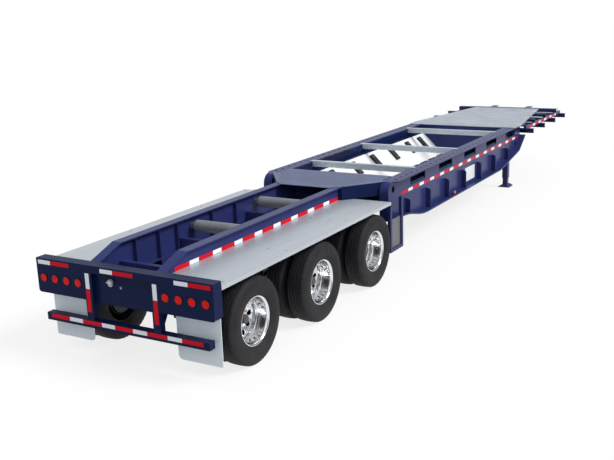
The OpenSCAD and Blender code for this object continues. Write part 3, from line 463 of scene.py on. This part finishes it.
dish = rounded_line([(CONE_OUT, cone(CONE_OUT)), (0.2515, 1.044), (0.2525, 1.087), (0.263, 1.110),
                     (0.266, 1.226), (0.274, 1.243), (0.2905, 1.2565), (0.2985, 1.2535), (0.2868, 1.2405),
                     (0.2868, 1.121), (0.2645, 1.087), (0.2645, 1.030),
                     (CONE_OUT, cone(CONE_OUT) - DISC_T)], 0.012, 5)
face = rounded_line([(CONE_IN, cone(CONE_IN)), (0.166, 1.0055), (0.102, 1.0055), (0.102, 0.9905),
                     (0.166, 0.9905), (CONE_IN, cone(CONE_IN) - DISC_T)], 0.006, 3)
outer_wheel = [open_ring(dish), holed_cone(), open_ring(face)]
print("points of the dished wheel:", sum(len(points) for points, _ in outer_wheel))

# %% [markdown]
# The hub, its cap, the lug nuts and the drum sit in that dish. Hub and drum are closed profiles; a nut is
# a raised hexagon on a collar, made once and set ten times round the stud circle. The slim cap covers the end
# of the axle's spindle. The inner wheel is black paint and partly painted shade: it darkens the hand holes,
# as shade does between real twin wheels.

# %% Hub, nuts, drum and inner wheel
HUB = finish("pale_hub_metal", tone(168, 170, 174), 0.38, metal=0.4, shade=0.12, patch=14.0)
DRUM = finish("brake_drum_iron", tone(38, 37, 36), 0.6, metal=0.3, specular=0.3, shade=0.2, patch=14.0)
# Black is the inner wheel's paint and also painted shade seen through the outer wheel's hand holes.
INNER = finish("black_inner_wheel", tone(30, 31, 34), 0.5, specular=0.3, shade=0.15, patch=10.0)
CAP = finish("oil_cap_plastic", tone(72, 62, 60), 0.3, specular=0.4, shade=0.15, patch=20.0)
CHROME = finish("chromed_fasteners", tone(214, 216, 220), 0.12, metal=1.0, shade=0.05, rough_by=0.05)
hub = turned(*rounded_line([(0.044, 0.985), (0.1005, 0.985), (0.1005, 1.012), (0.090, 1.022), (0.084, 1.034),
                            (0.090, 1.036), (0.090, 1.044), (0.044, 1.046)], 0.004, 3).T, 72)
cap = turned(*rounded_line([(0, 1.037), (0.074, 1.037), (0.074, 1.049), (0.060, 1.062), (0.056, 1.122),
                            (0.046, 1.130), (0, 1.132)], 0.006, 4).T, 60)
drum = turned(*rounded_line([(0.090, 0.960), (0.205, 0.946), (0.208, 0.772), (0.194, 0.772), (0.192, 0.930),
                             (0.090, 0.944)], 0.008, 3).T, 96)
inner_line = [(0.2975, 0.726), (0.290, 0.722), (0.276, 0.740), (0.270, 0.871), (0.250, 0.893),
              (0.250, 0.942), (0.170, 0.974), (0.101, 0.974), (0.101, 0.9895), (0.176, 0.9895),
              (0.264, 0.952), (0.264, 0.893), (0.2865, 0.859), (0.2865, 0.740)]
inner_wheel = turned(*rounded_line(inner_line, 0.008, 3).T, 96)


def ring_places(count, radius, height, start=0.0):
    """Places round a circle: (r cos a, r sin a, height)."""
    angle = np.arange(count) * 2 * np.pi / count + start
    return np.column_stack([radius * np.cos(angle), radius * np.sin(angle), np.full(count, height)])


nut_body = raised(ngon(6, 0.0185), 0.030, 0.12)
nut_collar = turned(np.array([0, 0.0235, 0.0235, 0.0175, 0]), np.array([0, 0, 0.004, 0.006, 0.006]), 20)
stud = turned(np.array([0, 0.0105, 0.0105, 0.008, 0]), np.array([0, 0, 0.043, 0.046, 0.046]), 16)
STUD_R, STUD_AT, CAP_BOLT_R, CAP_BOLT_AT = 0.1429, 1.0055, 0.079, 1.044
studs = [copies(s, ring_places(HOLES, STUD_R, STUD_AT, np.pi / HOLES)) for s in (nut_body, nut_collar, stud)]
cap_bolts = [copies(raised(ngon(6, 0.006), 0.006), ring_places(6, CAP_BOLT_R, CAP_BOLT_AT))]
wheel_parts = (("polished_wheel", outer_wheel, SLOT_FINISH["polished_wheel"]),
               ("inner_wheel", [inner_wheel], INNER), ("hub", [hub], HUB), ("brake_drum", [drum], DRUM),
               ("hub_cap", [cap], CAP), ("lug_nuts", studs + cap_bolts, CHROME))
for place, x in AXLE_X.items():
    for side, _ in SIDES:
        for name, shapes, metal in wheel_parts:
            set_in = [copies(s, (x, 0, AXLE_Z), FACING[side]) for s in shapes]
            part = piece(f"{name}_{place}_{side}", set_in, metal, f"wheels_{place}_{side}")
            if name not in ("hub_cap", "lug_nuts"):
                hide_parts(f"wheel_{place}_{side}")
print("wheels:", [row for row in made if row[0].endswith("rear_right")])

# %% [markdown]
# ## Reflective tape
# Road law asks for red and white reflective tape, 11 inches of red to 7 of white, about 2 inches high. It
# could be painted by a material, but a thin slab on the steel keeps its crisp ends in any view. The finish
# has the small cells of real prismatic tape.

# %% Tape
TAPE_H, TAPE_T, TAPE_GAP = 0.050, 0.0012, 0.002
RED_LENGTH, WHITE_LENGTH, SHORTEST = 0.2794, 0.1778, 0.03
RED = finish("red_reflective_tape", tone(208, 12, 32), 0.4, specular=0.1, shade=0.06, cells=420.0,
             cell_relief=0.0002)
WHITE = finish("white_reflective_tape", tone(238, 242, 248), 0.4, specular=0.2, shade=0.03, cells=420.0,
               cell_relief=0.0002)
tape = {"red": [], "white": []}


def tape_length(colour, facing, middle, length, height=TAPE_H):
    """One length of tape, its middle on the steel's face."""
    tape[colour].append(copies(raised(rectangle(length - TAPE_GAP, height), TAPE_T), middle, FACING[facing]))


def tape_between(colour, facing, a, b):
    """A length of tape from corner a to the opposite corner b of a face across x or across y."""
    a, b = np.array(a), np.array(b)
    size = np.abs(b - a)
    tape_length(colour, facing, (a + b) / 2, max(size[0], size[1]), size[2])


print("tape finishes:", RED.name, WHITE.name)

# %% Tape across the rear
REAR_X = -7.303
HEADER_CUTS = ((1.265, 1.068, 0.770), (0.290, 0.102, -0.199), (-0.773, -0.962, -1.264))
HEADER_Z, POST_WHITE_Z, POST_RED_Z, GUARD_Z = (1.150, 1.200), (0.932, 1.120), (0.648, 0.930), (0.490, 0.540)
POST_Y = (0.466, 0.528)
GUARD_CUTS = (1.132, 0.836, 0.628, 0.331, 0.133, -0.135, -0.340, -0.631, -0.832, -1.122)


def rear_tape(colour, y, z):
    """Tape on the rear between two places across and two heights."""
    tape_between(colour, "rear", (REAR_X, y[0], z[0]), (REAR_X, y[1], z[1]))


for white, red, end in HEADER_CUTS:
    rear_tape("white", (white, red), HEADER_Z)
    rear_tape("red", (red, end), HEADER_Z)
for _, sign in SIDES:
    post = sign * np.array(POST_Y)
    rear_tape("white", post, POST_WHITE_Z)
    rear_tape("red", post, POST_RED_Z)
for i, cut in enumerate(zip(GUARD_CUTS, GUARD_CUTS[1:])):
    rear_tape(("red", "white")[i % 2], cut, GUARD_Z)
print("lengths on the rear:", {colour: len(rows) for colour, rows in tape.items()})

# %% Tape along the sides
RUNS = ((0.497, 1.184, -6.933, -3.003), (1.047, 1.080, -1.913, 4.237), (1.190, 1.251, 4.597, 6.797))


def tape_run(facing, sign, y, z, start, stop):
    """Tape along the trailer: red and white lengths in turn from start to stop."""
    cuts = start + np.concatenate([[0], np.cumsum(np.tile([RED_LENGTH, WHITE_LENGTH], 40))])
    cuts = np.append(cuts[cuts < stop], stop)
    for i, (a, b) in enumerate(zip(cuts, cuts[1:])):
        if b - a > SHORTEST:
            tape_length(("red", "white")[i % 2], facing, ((a + b) / 2, sign * y, z), b - a)


for side, sign in SIDES:
    for run in RUNS:
        tape_run(side, sign, *run)
piece("tape_red", tape["red"], RED)
piece("tape_white", tape["white"], WHITE)
print("tape lengths:", len(tape["red"]), "red,", len(tape["white"]), "white")

# %% [markdown]
# ## Tail lamps
# A sealed lamp sits in a rubber grommet. The lens is a shallow dome with rings pressed into it, and the
# grommet a fat ring round it: two turned profiles set at eight places.

# %% Lamps and grommets
GROMMET = finish("grommet_rubber", tone(26, 26, 29), 0.6, specular=0.3, shade=0.2, patch=20.0)
LENS_R, LENS_STEPS, LENS_FOOT, LENS_RISE, LENS_RING, LENS_CURVE = 0.0485, 22, 0.0010, 0.0052, 0.0006, 0.050
LENS_BACK, ROUND = -0.008, 48
GROMMET_R, GROMMET_WIDE, GROMMET_MID, GROMMET_HIGH = 0.0512, 0.0034, 0.001, 0.0050
LAMP_X, LAMP_Y, LAMP_Z = -7.3085, (1.189, 1.007, 0.825, 0.643), 0.985
lens_r = np.linspace(LENS_R, 0, LENS_STEPS)
lens_h = LENS_FOOT + LENS_RISE * np.sqrt(1 - (lens_r / LENS_CURVE) ** 2)
lens_h = lens_h - LENS_RING * (np.arange(LENS_STEPS) % 3 == 1)
lens = turned(np.append([0, LENS_R], lens_r), np.append([LENS_BACK, LENS_BACK], lens_h), ROUND)
bead = np.linspace(0, 2 * np.pi, 13)[:-1]
grommet = turned(GROMMET_R + GROMMET_WIDE * np.cos(bead), GROMMET_MID + GROMMET_HIGH * np.sin(bead), ROUND)
collar = turned(np.array([0.0480, 0.054, 0.054, 0.0480]), np.array([-0.012, -0.012, 0.001, 0.001]), ROUND)
lamp_places = np.array([(LAMP_X, s * y, LAMP_Z) for s in (1, -1) for y in LAMP_Y])
lenses = piece("lamp_lenses", [copies(lens, lamp_places, FACING["rear"])], SLOT_FINISH["lamp_red"])
grommets = piece("lamp_grommets", [copies(s, lamp_places, FACING["rear"]) for s in (grommet, collar)],
                 GROMMET)
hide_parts("tail_lamps")
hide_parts("tail_lamps")
print("lamps:", len(lamp_places))

# %% [markdown]
# ## Tread plate
# Both decks are rolled plate with raised bars, each at right angles to its neighbours. One bar is a low
# eight-sided slab; it is copied to every place of a lattice that falls inside the deck's outline, which is
# read from the solid's own top face.

# %% Raised bars on the decks
BAR = raised(ngon(8, 0.027, 0.30), 0.0024, 0.5)
BAR_PITCH, BAR_EDGE, BAR_SINK = 0.055, 0.03, 0.0002


def deck_bars(node, pitch):
    """Lattice places inside the deck, turned 45 degrees one way and the other in turn."""
    mesh = frame["nodes"][node].data
    flat = np.empty(len(mesh.vertices) * 3)
    mesh.vertices.foreach_get("co", flat)
    top = flat.reshape(-1, 3)
    high = top[:, 2].max()
    edge = top[(top[:, 2] > high - 1e-4) & (top[:, 1] > 0)][:, :2]
    edge = np.unique(edge.round(4), axis=0)
    xs = np.unique(edge[:, 0])
    reach = np.array([edge[edge[:, 0] == x][:, 1].min() for x in xs])
    i, j = np.meshgrid(np.arange(-200, 200), np.arange(-200, 200), indexing="ij")
    x, y = xs.mean() + i * pitch, j * pitch
    side = np.minimum(np.interp(x - BAR_EDGE, xs, reach), np.interp(x + BAR_EDGE, xs, reach)) - BAR_EDGE
    inside = (x > xs[0] + BAR_EDGE) & (x < xs[-1] - BAR_EDGE) & (np.abs(y) < side)
    angle = np.pi / 4 + np.pi / 2 * ((i + j) % 2)
    c, s, zero, one = np.cos(angle), np.sin(angle), 0 * angle, 1 + 0 * angle
    rows = ([c, -s, zero], [s, c, zero], [zero, zero, one])
    turn = np.stack([np.stack(row, -1) for row in rows], -2)
    places = np.stack([x, y, high - BAR_SINK + zero], -1)
    return copies(BAR, places[inside], turn[inside]), int(inside.sum())


for node, slot in (("transition_deck", "deck_plate"), ("neck_deck", "neck_plate")):
    bars, count = deck_bars(node, BAR_PITCH)
    piece(f"{node}_bars", [bars], SLOT_FINISH[slot])
    print(node, count, "bars")

# %% [markdown]
# ## Bolts
# Bolt heads hold the rubber pads in the trough and the rear panel, and low domes hold the fenders to their
# arms. A head is a raised hexagon on a washer, made once and copied; on the pads its frame leans with the
# trough's 45 degree slope.

# %% Bolts
BOLT = finish("zinc_bolts", tone(150, 154, 160), 0.35, metal=0.8, shade=0.12, patch=30.0)
washer = turned(np.array([0, 0.0155, 0.0155, 0]), np.array([0, 0, 0.0022, 0.0022]), 18)
bolt = [raised(ngon(6, 0.011), 0.008, 0.2), washer]
dome = turned(np.array([0, 0.013, 0.012, 0.007, 0]), np.array([0, 0, 0.003, 0.0055, 0.0062]), 14)
SLOPE, PAD_TOP, PAD_ROWS = np.sqrt(0.5), 0.0363, (-0.855, -0.0225, 0.81, 1.6425, 2.475, 3.125)
PAD_EDGE_Y, PAD_EDGE_Z, PAD_START, PAD_BOLTS = 0.855, 1.175, 0.070, (0.05, 0.24)
FENDER_ARMS, FENDER_TOP, FENDER_BOLT_Y = (-7.009, -5.689, -4.114, -2.929), 1.156, (0.66, 0.96, 1.22)
PANEL_X, PANEL_BOLT_Y = -7.241, 0.045
domes = [(x, s * y, FENDER_TOP) for x in FENDER_ARMS for s in (1, -1) for y in FENDER_BOLT_Y]
hardware = [copies(s, (PANEL_X, PANEL_BOLT_Y, LAMP_Z), FACING["rear"]) for s in bolt]
hardware += [copies(dome, domes)]
for _, sign in SIDES:
    across = np.array([0, -sign, 1]) * SLOPE
    down = np.array([0, sign, 1]) * SLOPE
    heads = [np.array([x, sign * PAD_EDGE_Y, PAD_EDGE_Z]) - down * (PAD_START + d) + across * PAD_TOP
             for x in PAD_ROWS for d in PAD_BOLTS]
    hardware += [copies(s, heads, toward(across)) for s in bolt]
piece("zinc_bolts", hardware, BOLT)
print("bolts:", made[-1])

# %% [markdown]
# ## Couplings
# An air coupling is a cast bell on a short neck with a locking handle. The one on the rear panel leans out to
# the side; the pair on the front bolster, red for supply and blue for service, takes the tractor's lines,
# with a socket for the lights between them. Bells and socket are turned profiles, the handle a bent tube.

# %% Air coupling on the recessed panel
COUPLING = finish("cast_coupling_metal", tone(186, 188, 190), 0.32, metal=0.5, shade=0.15, patch=30.0)
FLANGE_AT, BELL_AT, BELL_AIM = (PANEL_X, 0.200, 1.020), (-7.245, 0.205, 1.015), (-0.5, -0.62, 0.6)
flange = turned(np.array([0, 0.040, 0.040, 0.030, 0]), np.array([0, 0, 0.010, 0.016, 0.016]), 32)
bell = turned(np.array([0, 0.017, 0.017, 0.033, 0.036, 0.030, 0.012, 0]),
              np.array([0, 0, 0.030, 0.038, 0.060, 0.072, 0.076, 0.074]), 28)
handle = [(-7.246, 0.190, 1.030), (-7.268, 0.200, 1.036), (-7.275, 0.224, 1.040), (-7.262, 0.240, 1.030)]
coupling = [copies(flange, FLANGE_AT, FACING["rear"]), copies(bell, BELL_AT, toward(BELL_AIM)),
            tube(handle, 0.010)]
piece("air_coupling", coupling, COUPLING)
print("coupling:", made[-1])

# %% Couplings for the tractor's lines, on the upright leg of the front bolster
FRONT_X, LINE_Z, LINE_Y = 6.757, 1.326, 0.17
SUPPLY = finish("red_coupling_paint", tone(168, 24, 26), 0.4, shade=0.12)
SERVICE = finish("blue_coupling_paint", tone(34, 74, 158), 0.4, shade=0.12)
line_base = raised(rectangle(0.080, 0.054), 0.006)
line_head = turned(np.array([0, 0.013, 0.013, 0.027, 0.030, 0.026, 0.016, 0]),
                   np.array([0, 0, 0.022, 0.028, 0.050, 0.058, 0.058, 0.054]), 28)
line_socket = turned(np.array([0, 0.026, 0.026, 0.029, 0.029, 0.024, 0.024, 0]),
                     np.array([0, 0, 0.034, 0.036, 0.044, 0.044, 0.030, 0.030]), 28)
for name, y, shape, metal in (("supply_coupling", LINE_Y, line_head, SUPPLY),
                              ("service_coupling", -LINE_Y, line_head, SERVICE),
                              ("light_socket", 0.0, line_socket, SLOT_FINISH["black_paint"])):
    piece(name, [copies(s, (FRONT_X, y, LINE_Z), FACING["front"]) for s in (line_base, shape)], metal)
print("couplings at the front:", made[-3:])

# %% [markdown]
# ## Marker lamps and placard
# An amber marker on a small stand sits low on each beam, and a hazard placard holder on the web. Both are
# raised outlines: an oval lens with a generous bevel, and a thin plate that stays blank.

# %% Marker lamps and blank placard
AMBER = finish("amber_lens", tone(232, 96, 20), 0.25, specular=0.3, shade=0.08)
PLACARD = finish("blank_white_placard", tone(226, 228, 230), 0.35, shade=0.04)
MARKER_X, STAND_Y, STAND_Z, MARKER_Y, MARKER_Z = 0.17, 1.146, 0.679, 1.150, 0.684
PLACARD_X, WEB_Y, PLACARD_Z = 1.24, 1.047, 0.83
stand = raised(rectangle(0.100, 0.075), 0.004)
marker = raised(ngon(20, 0.040, 0.62), 0.016, 0.5)
plate = raised(rectangle(0.52, 0.26), 0.002)
for side, sign in SIDES:
    for name, shape, (x, y, z), coat in (
            ("marker_stand", stand, (MARKER_X, STAND_Y, STAND_Z), NAVY),
            ("marker_lamp", marker, (MARKER_X, MARKER_Y, MARKER_Z), AMBER),
            ("placard", plate, (PLACARD_X, WEB_Y, PLACARD_Z), PLACARD)):
        piece(f"{name}_{side}", [copies(shape, (x, sign * y, z), FACING[side])], coat)
print("markers and placards:", made[-6:])

# %% [markdown]
# ## Welds
# The ribs are welded up both sides. A real bead is a row of small overlapping puddles, which a round section
# with a rippled radius shows well from every side; a bump in the paint would vanish in outline.

# %% Weld beads up both sides of each rib
RIB_X, RIB_T, RIB_TOP, BEAD_Y = -1.760 + 0.850 * np.arange(7), 0.014, 0.972, 1.0475
RIB_FOOT = np.array([0.748, 0.645, 0.645, 0.645, 0.645, 0.645, 0.742])


def weld_bead(start, end, radius=0.006, ripple=0.014):
    """A rippled round: r (1 + 0.12 cos(2 pi s / ripple)) along a straight run s, with tapered ends."""
    start, end = np.array(start), np.array(end)
    length = np.linalg.norm(end - start)
    s = np.linspace(0, 1, int(length / ripple * 4))
    taper = np.clip(np.minimum(s, 1 - s) * 60, 0.3, 1)
    swell = radius * (1 + 0.12 * np.cos(2 * np.pi * s * length / ripple)) * taper
    return tube(start + s[:, None] * (end - start), swell, 6)


beads = [weld_bead((x + dx, sign * BEAD_Y, low), (x + dx, sign * BEAD_Y, RIB_TOP))
         for _, sign in SIDES for x, low in zip(RIB_X, RIB_FOOT) for dx in (0, RIB_T)]
piece("weld_beads", beads, NAVY)
print("weld beads:", made[-1])

# %% [markdown]
# ## Closing plates, crank and splash panels
# Small plates finish what the solids leave open: caps on the guard's ends and covers over the trough's white
# ledge behind the slots, both in the darker navy that is painted shade, dark blocks along the flange's inner
# edge, and thin dark sheets of painted shade that stand for the slots in the neck deck and a port near the
# front of each web. A grey panel fills each splash frame, and the landing gear's crank lies folded beside the
# leg. Nearly all are raised rectangles; the crank is a bent tube.

# %% Guard ends, and covers behind the slots
GUARD_X, GUARD_END, GUARD_MID_Z = -7.252, 1.1935, 0.501
LEDGE_X, LEDGE_Y, LEDGE_Z = 0.785, 0.985, 1.1753
SLOT_X, LAST_SLOT_X, SLOT_Y, SILL_Z = -1.245 + 1.240 * np.arange(4), 3.487, 1.0331, 1.164
cap_plate = raised(rectangle(0.090, 0.080), 0.007, 0.1)
guard_caps = [copies(cap_plate, (GUARD_X, s * GUARD_END, GUARD_MID_Z), FACING[n]) for n, s in SIDES]
# The guard's end caps take the darker navy, which is painted shade.
piece("guard_end_caps", guard_caps, SHADED_NAVY)
ledge, sill, short_sill = (raised(rectangle(*size), 0.003, 0.2)
                           for size in ((5.57, 0.094), (0.616, 0.036), (0.160, 0.036)))
covers = [copies(ledge, (LEDGE_X, s * LEDGE_Y, LEDGE_Z)) for _, s in SIDES]
covers += [copies(sill, [(x, s * SLOT_Y, SILL_Z) for x in SLOT_X], FACING[n]) for n, s in SIDES]
covers += [copies(short_sill, (LAST_SLOT_X, s * SLOT_Y, SILL_Z), FACING[n]) for n, s in SIDES]
# The ledge covers and sills take the darker navy: painted shade behind the slots.
piece("ledge_covers", covers, SHADED_NAVY)
print("covers:", made[-2:])

# %% Edge blocks, neck deck slots and web ports
BLOCK_X, BLOCK_Y, BLOCK_Z = -1.03 + 0.36 * np.arange(4), 0.912, 1.344
DECK_SLOT_X, DECK_SLOT_Y, DECK_SLOT_Z = 6.30, 0.36, 1.3679
PORT_X, PORT_Y, PORT_Z = 4.06, 1.0469, 0.955
# Painted shade: a near-black finish on thin sheets that stand for the shade inside openings that are not cut.
OPENING_SHADE = finish("painted_opening_shade", tone(14, 14, 17), 0.8, specular=0.1, shade=0.2)
block = raised(rectangle(0.260, 0.030), 0.020, 0.2)
deck_slot = raised(rectangle(0.030, 0.34), 0.0008)
port = raised(ngon(24, 0.042), 0.0008)
piece("edge_blocks", [copies(block, [(x, s * BLOCK_Y, BLOCK_Z) for x in BLOCK_X]) for _, s in SIDES],
      SLOT_FINISH["black_rubber"])
slots = [copies(deck_slot, (DECK_SLOT_X, s * DECK_SLOT_Y, DECK_SLOT_Z)) for _, s in SIDES]
piece("neck_deck_slots", slots, OPENING_SHADE)
piece("web_ports", [copies(port, (PORT_X, s * PORT_Y, PORT_Z), FACING[n]) for n, s in SIDES], OPENING_SHADE)
print("dark trim:", made[-3:])

# %% Crank of the landing gear and splash panels
CRANK_R, SPLASH_X, SPLASH_Y, SPLASH_Z = 0.012, -2.485, 1.1995, 0.605
SPLASH = finish("grey_splash_panel", tone(104, 106, 108), 0.55, shade=0.12, dust=0.3)
crank_line = rounded_line([(4.205, -0.896, 0.930), (4.205, -0.960, 0.930), (3.965, -0.965, 0.905),
                           (3.955, -1.015, 0.900)], 0.03, 6)
piece("landing_crank", [tube(crank_line, CRANK_R, 12)], SLOT_FINISH["black_paint"])
panel = raised(rectangle(0.355, 0.445), 0.003)
panels = [copies(panel, (SPLASH_X, s * SPLASH_Y, SPLASH_Z), FACING[n]) for n, s in SIDES]
piece("splash_panels", panels, SPLASH)
print("pieces so far:", len(made), "triangles:", sum(n for _, n in made))

# %% [markdown]
# ## Stage, light and camera
# The photograph has a plain white ground, so the floor is white to the camera and to reflections but a
# duller grey to light that bounces off it, which keeps the lower sides of the trailer from washing out. A
# wide sun from the right, a weak fill from the rear and a sky that is brighter overhead light the paint at
# the level its colours are written for. A glow low in the sky ahead gives level tops their grazing sheen.

# %% Floor
FLOOR_SIDE, FLOOR_WHITE = 800.0, 0.8
floor_mesh = bpy.data.meshes.new("floor")
corners = np.column_stack([rectangle(FLOOR_SIDE, FLOOR_SIDE), np.zeros(4)])
floor_mesh.from_pydata(corners.tolist(), [], [(0, 1, 2, 3)])
floor = bpy.data.objects.new("floor", floor_mesh)
bpy.context.scene.collection.objects.link(floor)
ground = bpy.data.materials.new("studio_floor")
ground.use_nodes = True
tree = ground.node_tree
tree.nodes.clear()
path = tree.nodes.new("ShaderNodeLightPath")
seen = path.outputs["Is Camera Ray"]
for ray in ("Is Glossy Ray", "Is Transmission Ray"):
    either = tree.nodes.new("ShaderNodeMath")
    either.operation = "MAXIMUM"
    tree.links.new(seen, either.inputs[0])
    tree.links.new(path.outputs[ray], either.inputs[1])
    seen = either.outputs["Value"]
dull, pale, glow = (tree.nodes.new(k) for k in ("ShaderNodeBsdfDiffuse", "ShaderNodeBsdfDiffuse",
                                                "ShaderNodeEmission"))
dull.inputs["Color"].default_value = (0.42, 0.42, 0.43, 1)
pale.inputs["Color"].default_value = (0.9, 0.9, 0.9, 1)
glow.inputs["Color"].default_value = (1, 1, 1, 1)
white_mix, ray_mix = tree.nodes.new("ShaderNodeMixShader"), tree.nodes.new("ShaderNodeMixShader")
white_mix.inputs["Fac"].default_value = FLOOR_WHITE
tree.links.new(pale.outputs["BSDF"], white_mix.inputs[1])
tree.links.new(glow.outputs["Emission"], white_mix.inputs[2])
tree.links.new(seen, ray_mix.inputs["Fac"])
tree.links.new(dull.outputs["BSDF"], ray_mix.inputs[1])
tree.links.new(white_mix.outputs["Shader"], ray_mix.inputs[2])
tree.links.new(ray_mix.outputs["Shader"], tree.nodes.new("ShaderNodeOutputMaterial").inputs["Surface"])
floor_mesh.materials.append(ground)
print("floor side:", FLOOR_SIDE, "m")

# %% Sky
HORIZON, ZENITH, GLOW, GLOW_AIM = 0.25, 0.62, 0.30, (0.835, 0.49, 0.25)
scene = bpy.context.scene
world = bpy.data.worlds.new("studio_sky")
scene.world = world
world.use_nodes = True
sky = world.node_tree
sky.nodes.clear()
where = sky.nodes.new("ShaderNodeTexCoord")
split = sky.nodes.new("ShaderNodeSeparateXYZ")
fade = sky.nodes.new("ShaderNodeMapRange")
for key, value in (("From Min", 0.0), ("From Max", 0.8), ("To Min", HORIZON), ("To Max", ZENITH)):
    fade.inputs[key].default_value = value
sky_light, white_light = sky.nodes.new("ShaderNodeBackground"), sky.nodes.new("ShaderNodeBackground")
sky_light.inputs["Color"].default_value = (0.95, 0.98, 1.0, 1)
white_light.inputs["Color"].default_value = (1, 1, 1, 1)
choose, rays = sky.nodes.new("ShaderNodeMixShader"), sky.nodes.new("ShaderNodeLightPath")
aim, glow_fade, total = (sky.nodes.new(k) for k in ("ShaderNodeVectorMath", "ShaderNodeMapRange",
                                                    "ShaderNodeMath"))
aim.operation, total.operation = "DOT_PRODUCT", "ADD"
aim.inputs[1].default_value = GLOW_AIM
for key, value in (("From Min", 0.78), ("From Max", 0.97), ("To Min", 0.0), ("To Max", GLOW)):
    glow_fade.inputs[key].default_value = value
sky.links.new(where.outputs["Generated"], split.inputs["Vector"])
sky.links.new(where.outputs["Generated"], aim.inputs[0])
sky.links.new(aim.outputs["Value"], glow_fade.inputs["Value"])
sky.links.new(split.outputs["Z"], fade.inputs["Value"])
sky.links.new(fade.outputs["Result"], total.inputs[0])
sky.links.new(glow_fade.outputs["Result"], total.inputs[1])
sky.links.new(total.outputs["Value"], sky_light.inputs["Strength"])
sky.links.new(rays.outputs["Is Camera Ray"], choose.inputs["Fac"])
sky.links.new(sky_light.outputs["Background"], choose.inputs[1])
sky.links.new(white_light.outputs["Background"], choose.inputs[2])
sky.links.new(choose.outputs["Shader"], sky.nodes.new("ShaderNodeOutputWorld").inputs["Surface"])
print("sky strength:", HORIZON, "at the horizon,", ZENITH, "overhead")

# %% Two lights
LIGHTS = (("wide_sun", 2.5, 0.4, (-0.15, 0.8, -0.75)), ("rear_fill", 0.55, 1.2, (0.75, 0.4, -0.5)))
LIGHT_AT = (0, 0, 8)


def basis(forward, roll=0.0):
    """Columns right, up and back of something that looks along forward, rolled about it by roll radians."""
    forward = np.asarray(forward, float) / np.linalg.norm(forward)
    right = np.cross(forward, [0, 0, 1])
    right /= np.linalg.norm(right)
    up = np.cross(right, forward)
    c, s = np.cos(roll), np.sin(roll)
    return np.column_stack([c * right + s * up, c * up - s * right, -forward])


def put(thing, at, columns):
    """Links an object and sets its matrix from a place and three columns."""
    scene.collection.objects.link(thing)
    matrix = np.eye(4)
    matrix[:3, :3], matrix[:3, 3] = columns, at
    thing.matrix_world = Matrix(matrix.tolist())


for name, energy, spread, ray in LIGHTS:
    lamp = bpy.data.lights.new(name, "SUN")
    lamp.energy, lamp.angle = energy, spread
    put(bpy.data.objects.new(name, lamp), LIGHT_AT, basis(ray))
print("lights:", [name for name, *_ in LIGHTS])

# %% Camera at the photograph's angle
FOCAL_PX, PICTURE_PX, EYE = 880.0, 614.0, (-14.37, -6.61, 4.06)
yaw, pitch, roll = np.radians([30.4, -14.56, -2.03])
lens_data = bpy.data.cameras.new("photo_camera")
lens_data.sensor_width = 36.0
lens_data.lens = FOCAL_PX / PICTURE_PX * lens_data.sensor_width
lens_data.clip_end = 1000.0
camera = bpy.data.objects.new("photo_camera", lens_data)
put(camera, EYE,
    basis((np.cos(pitch) * np.cos(yaw), np.cos(pitch) * np.sin(yaw), np.sin(pitch)), roll))
scene.camera = camera
scene.view_settings.view_transform = "Standard"
print("camera at", EYE, "lens", round(lens_data.lens, 2), "mm")
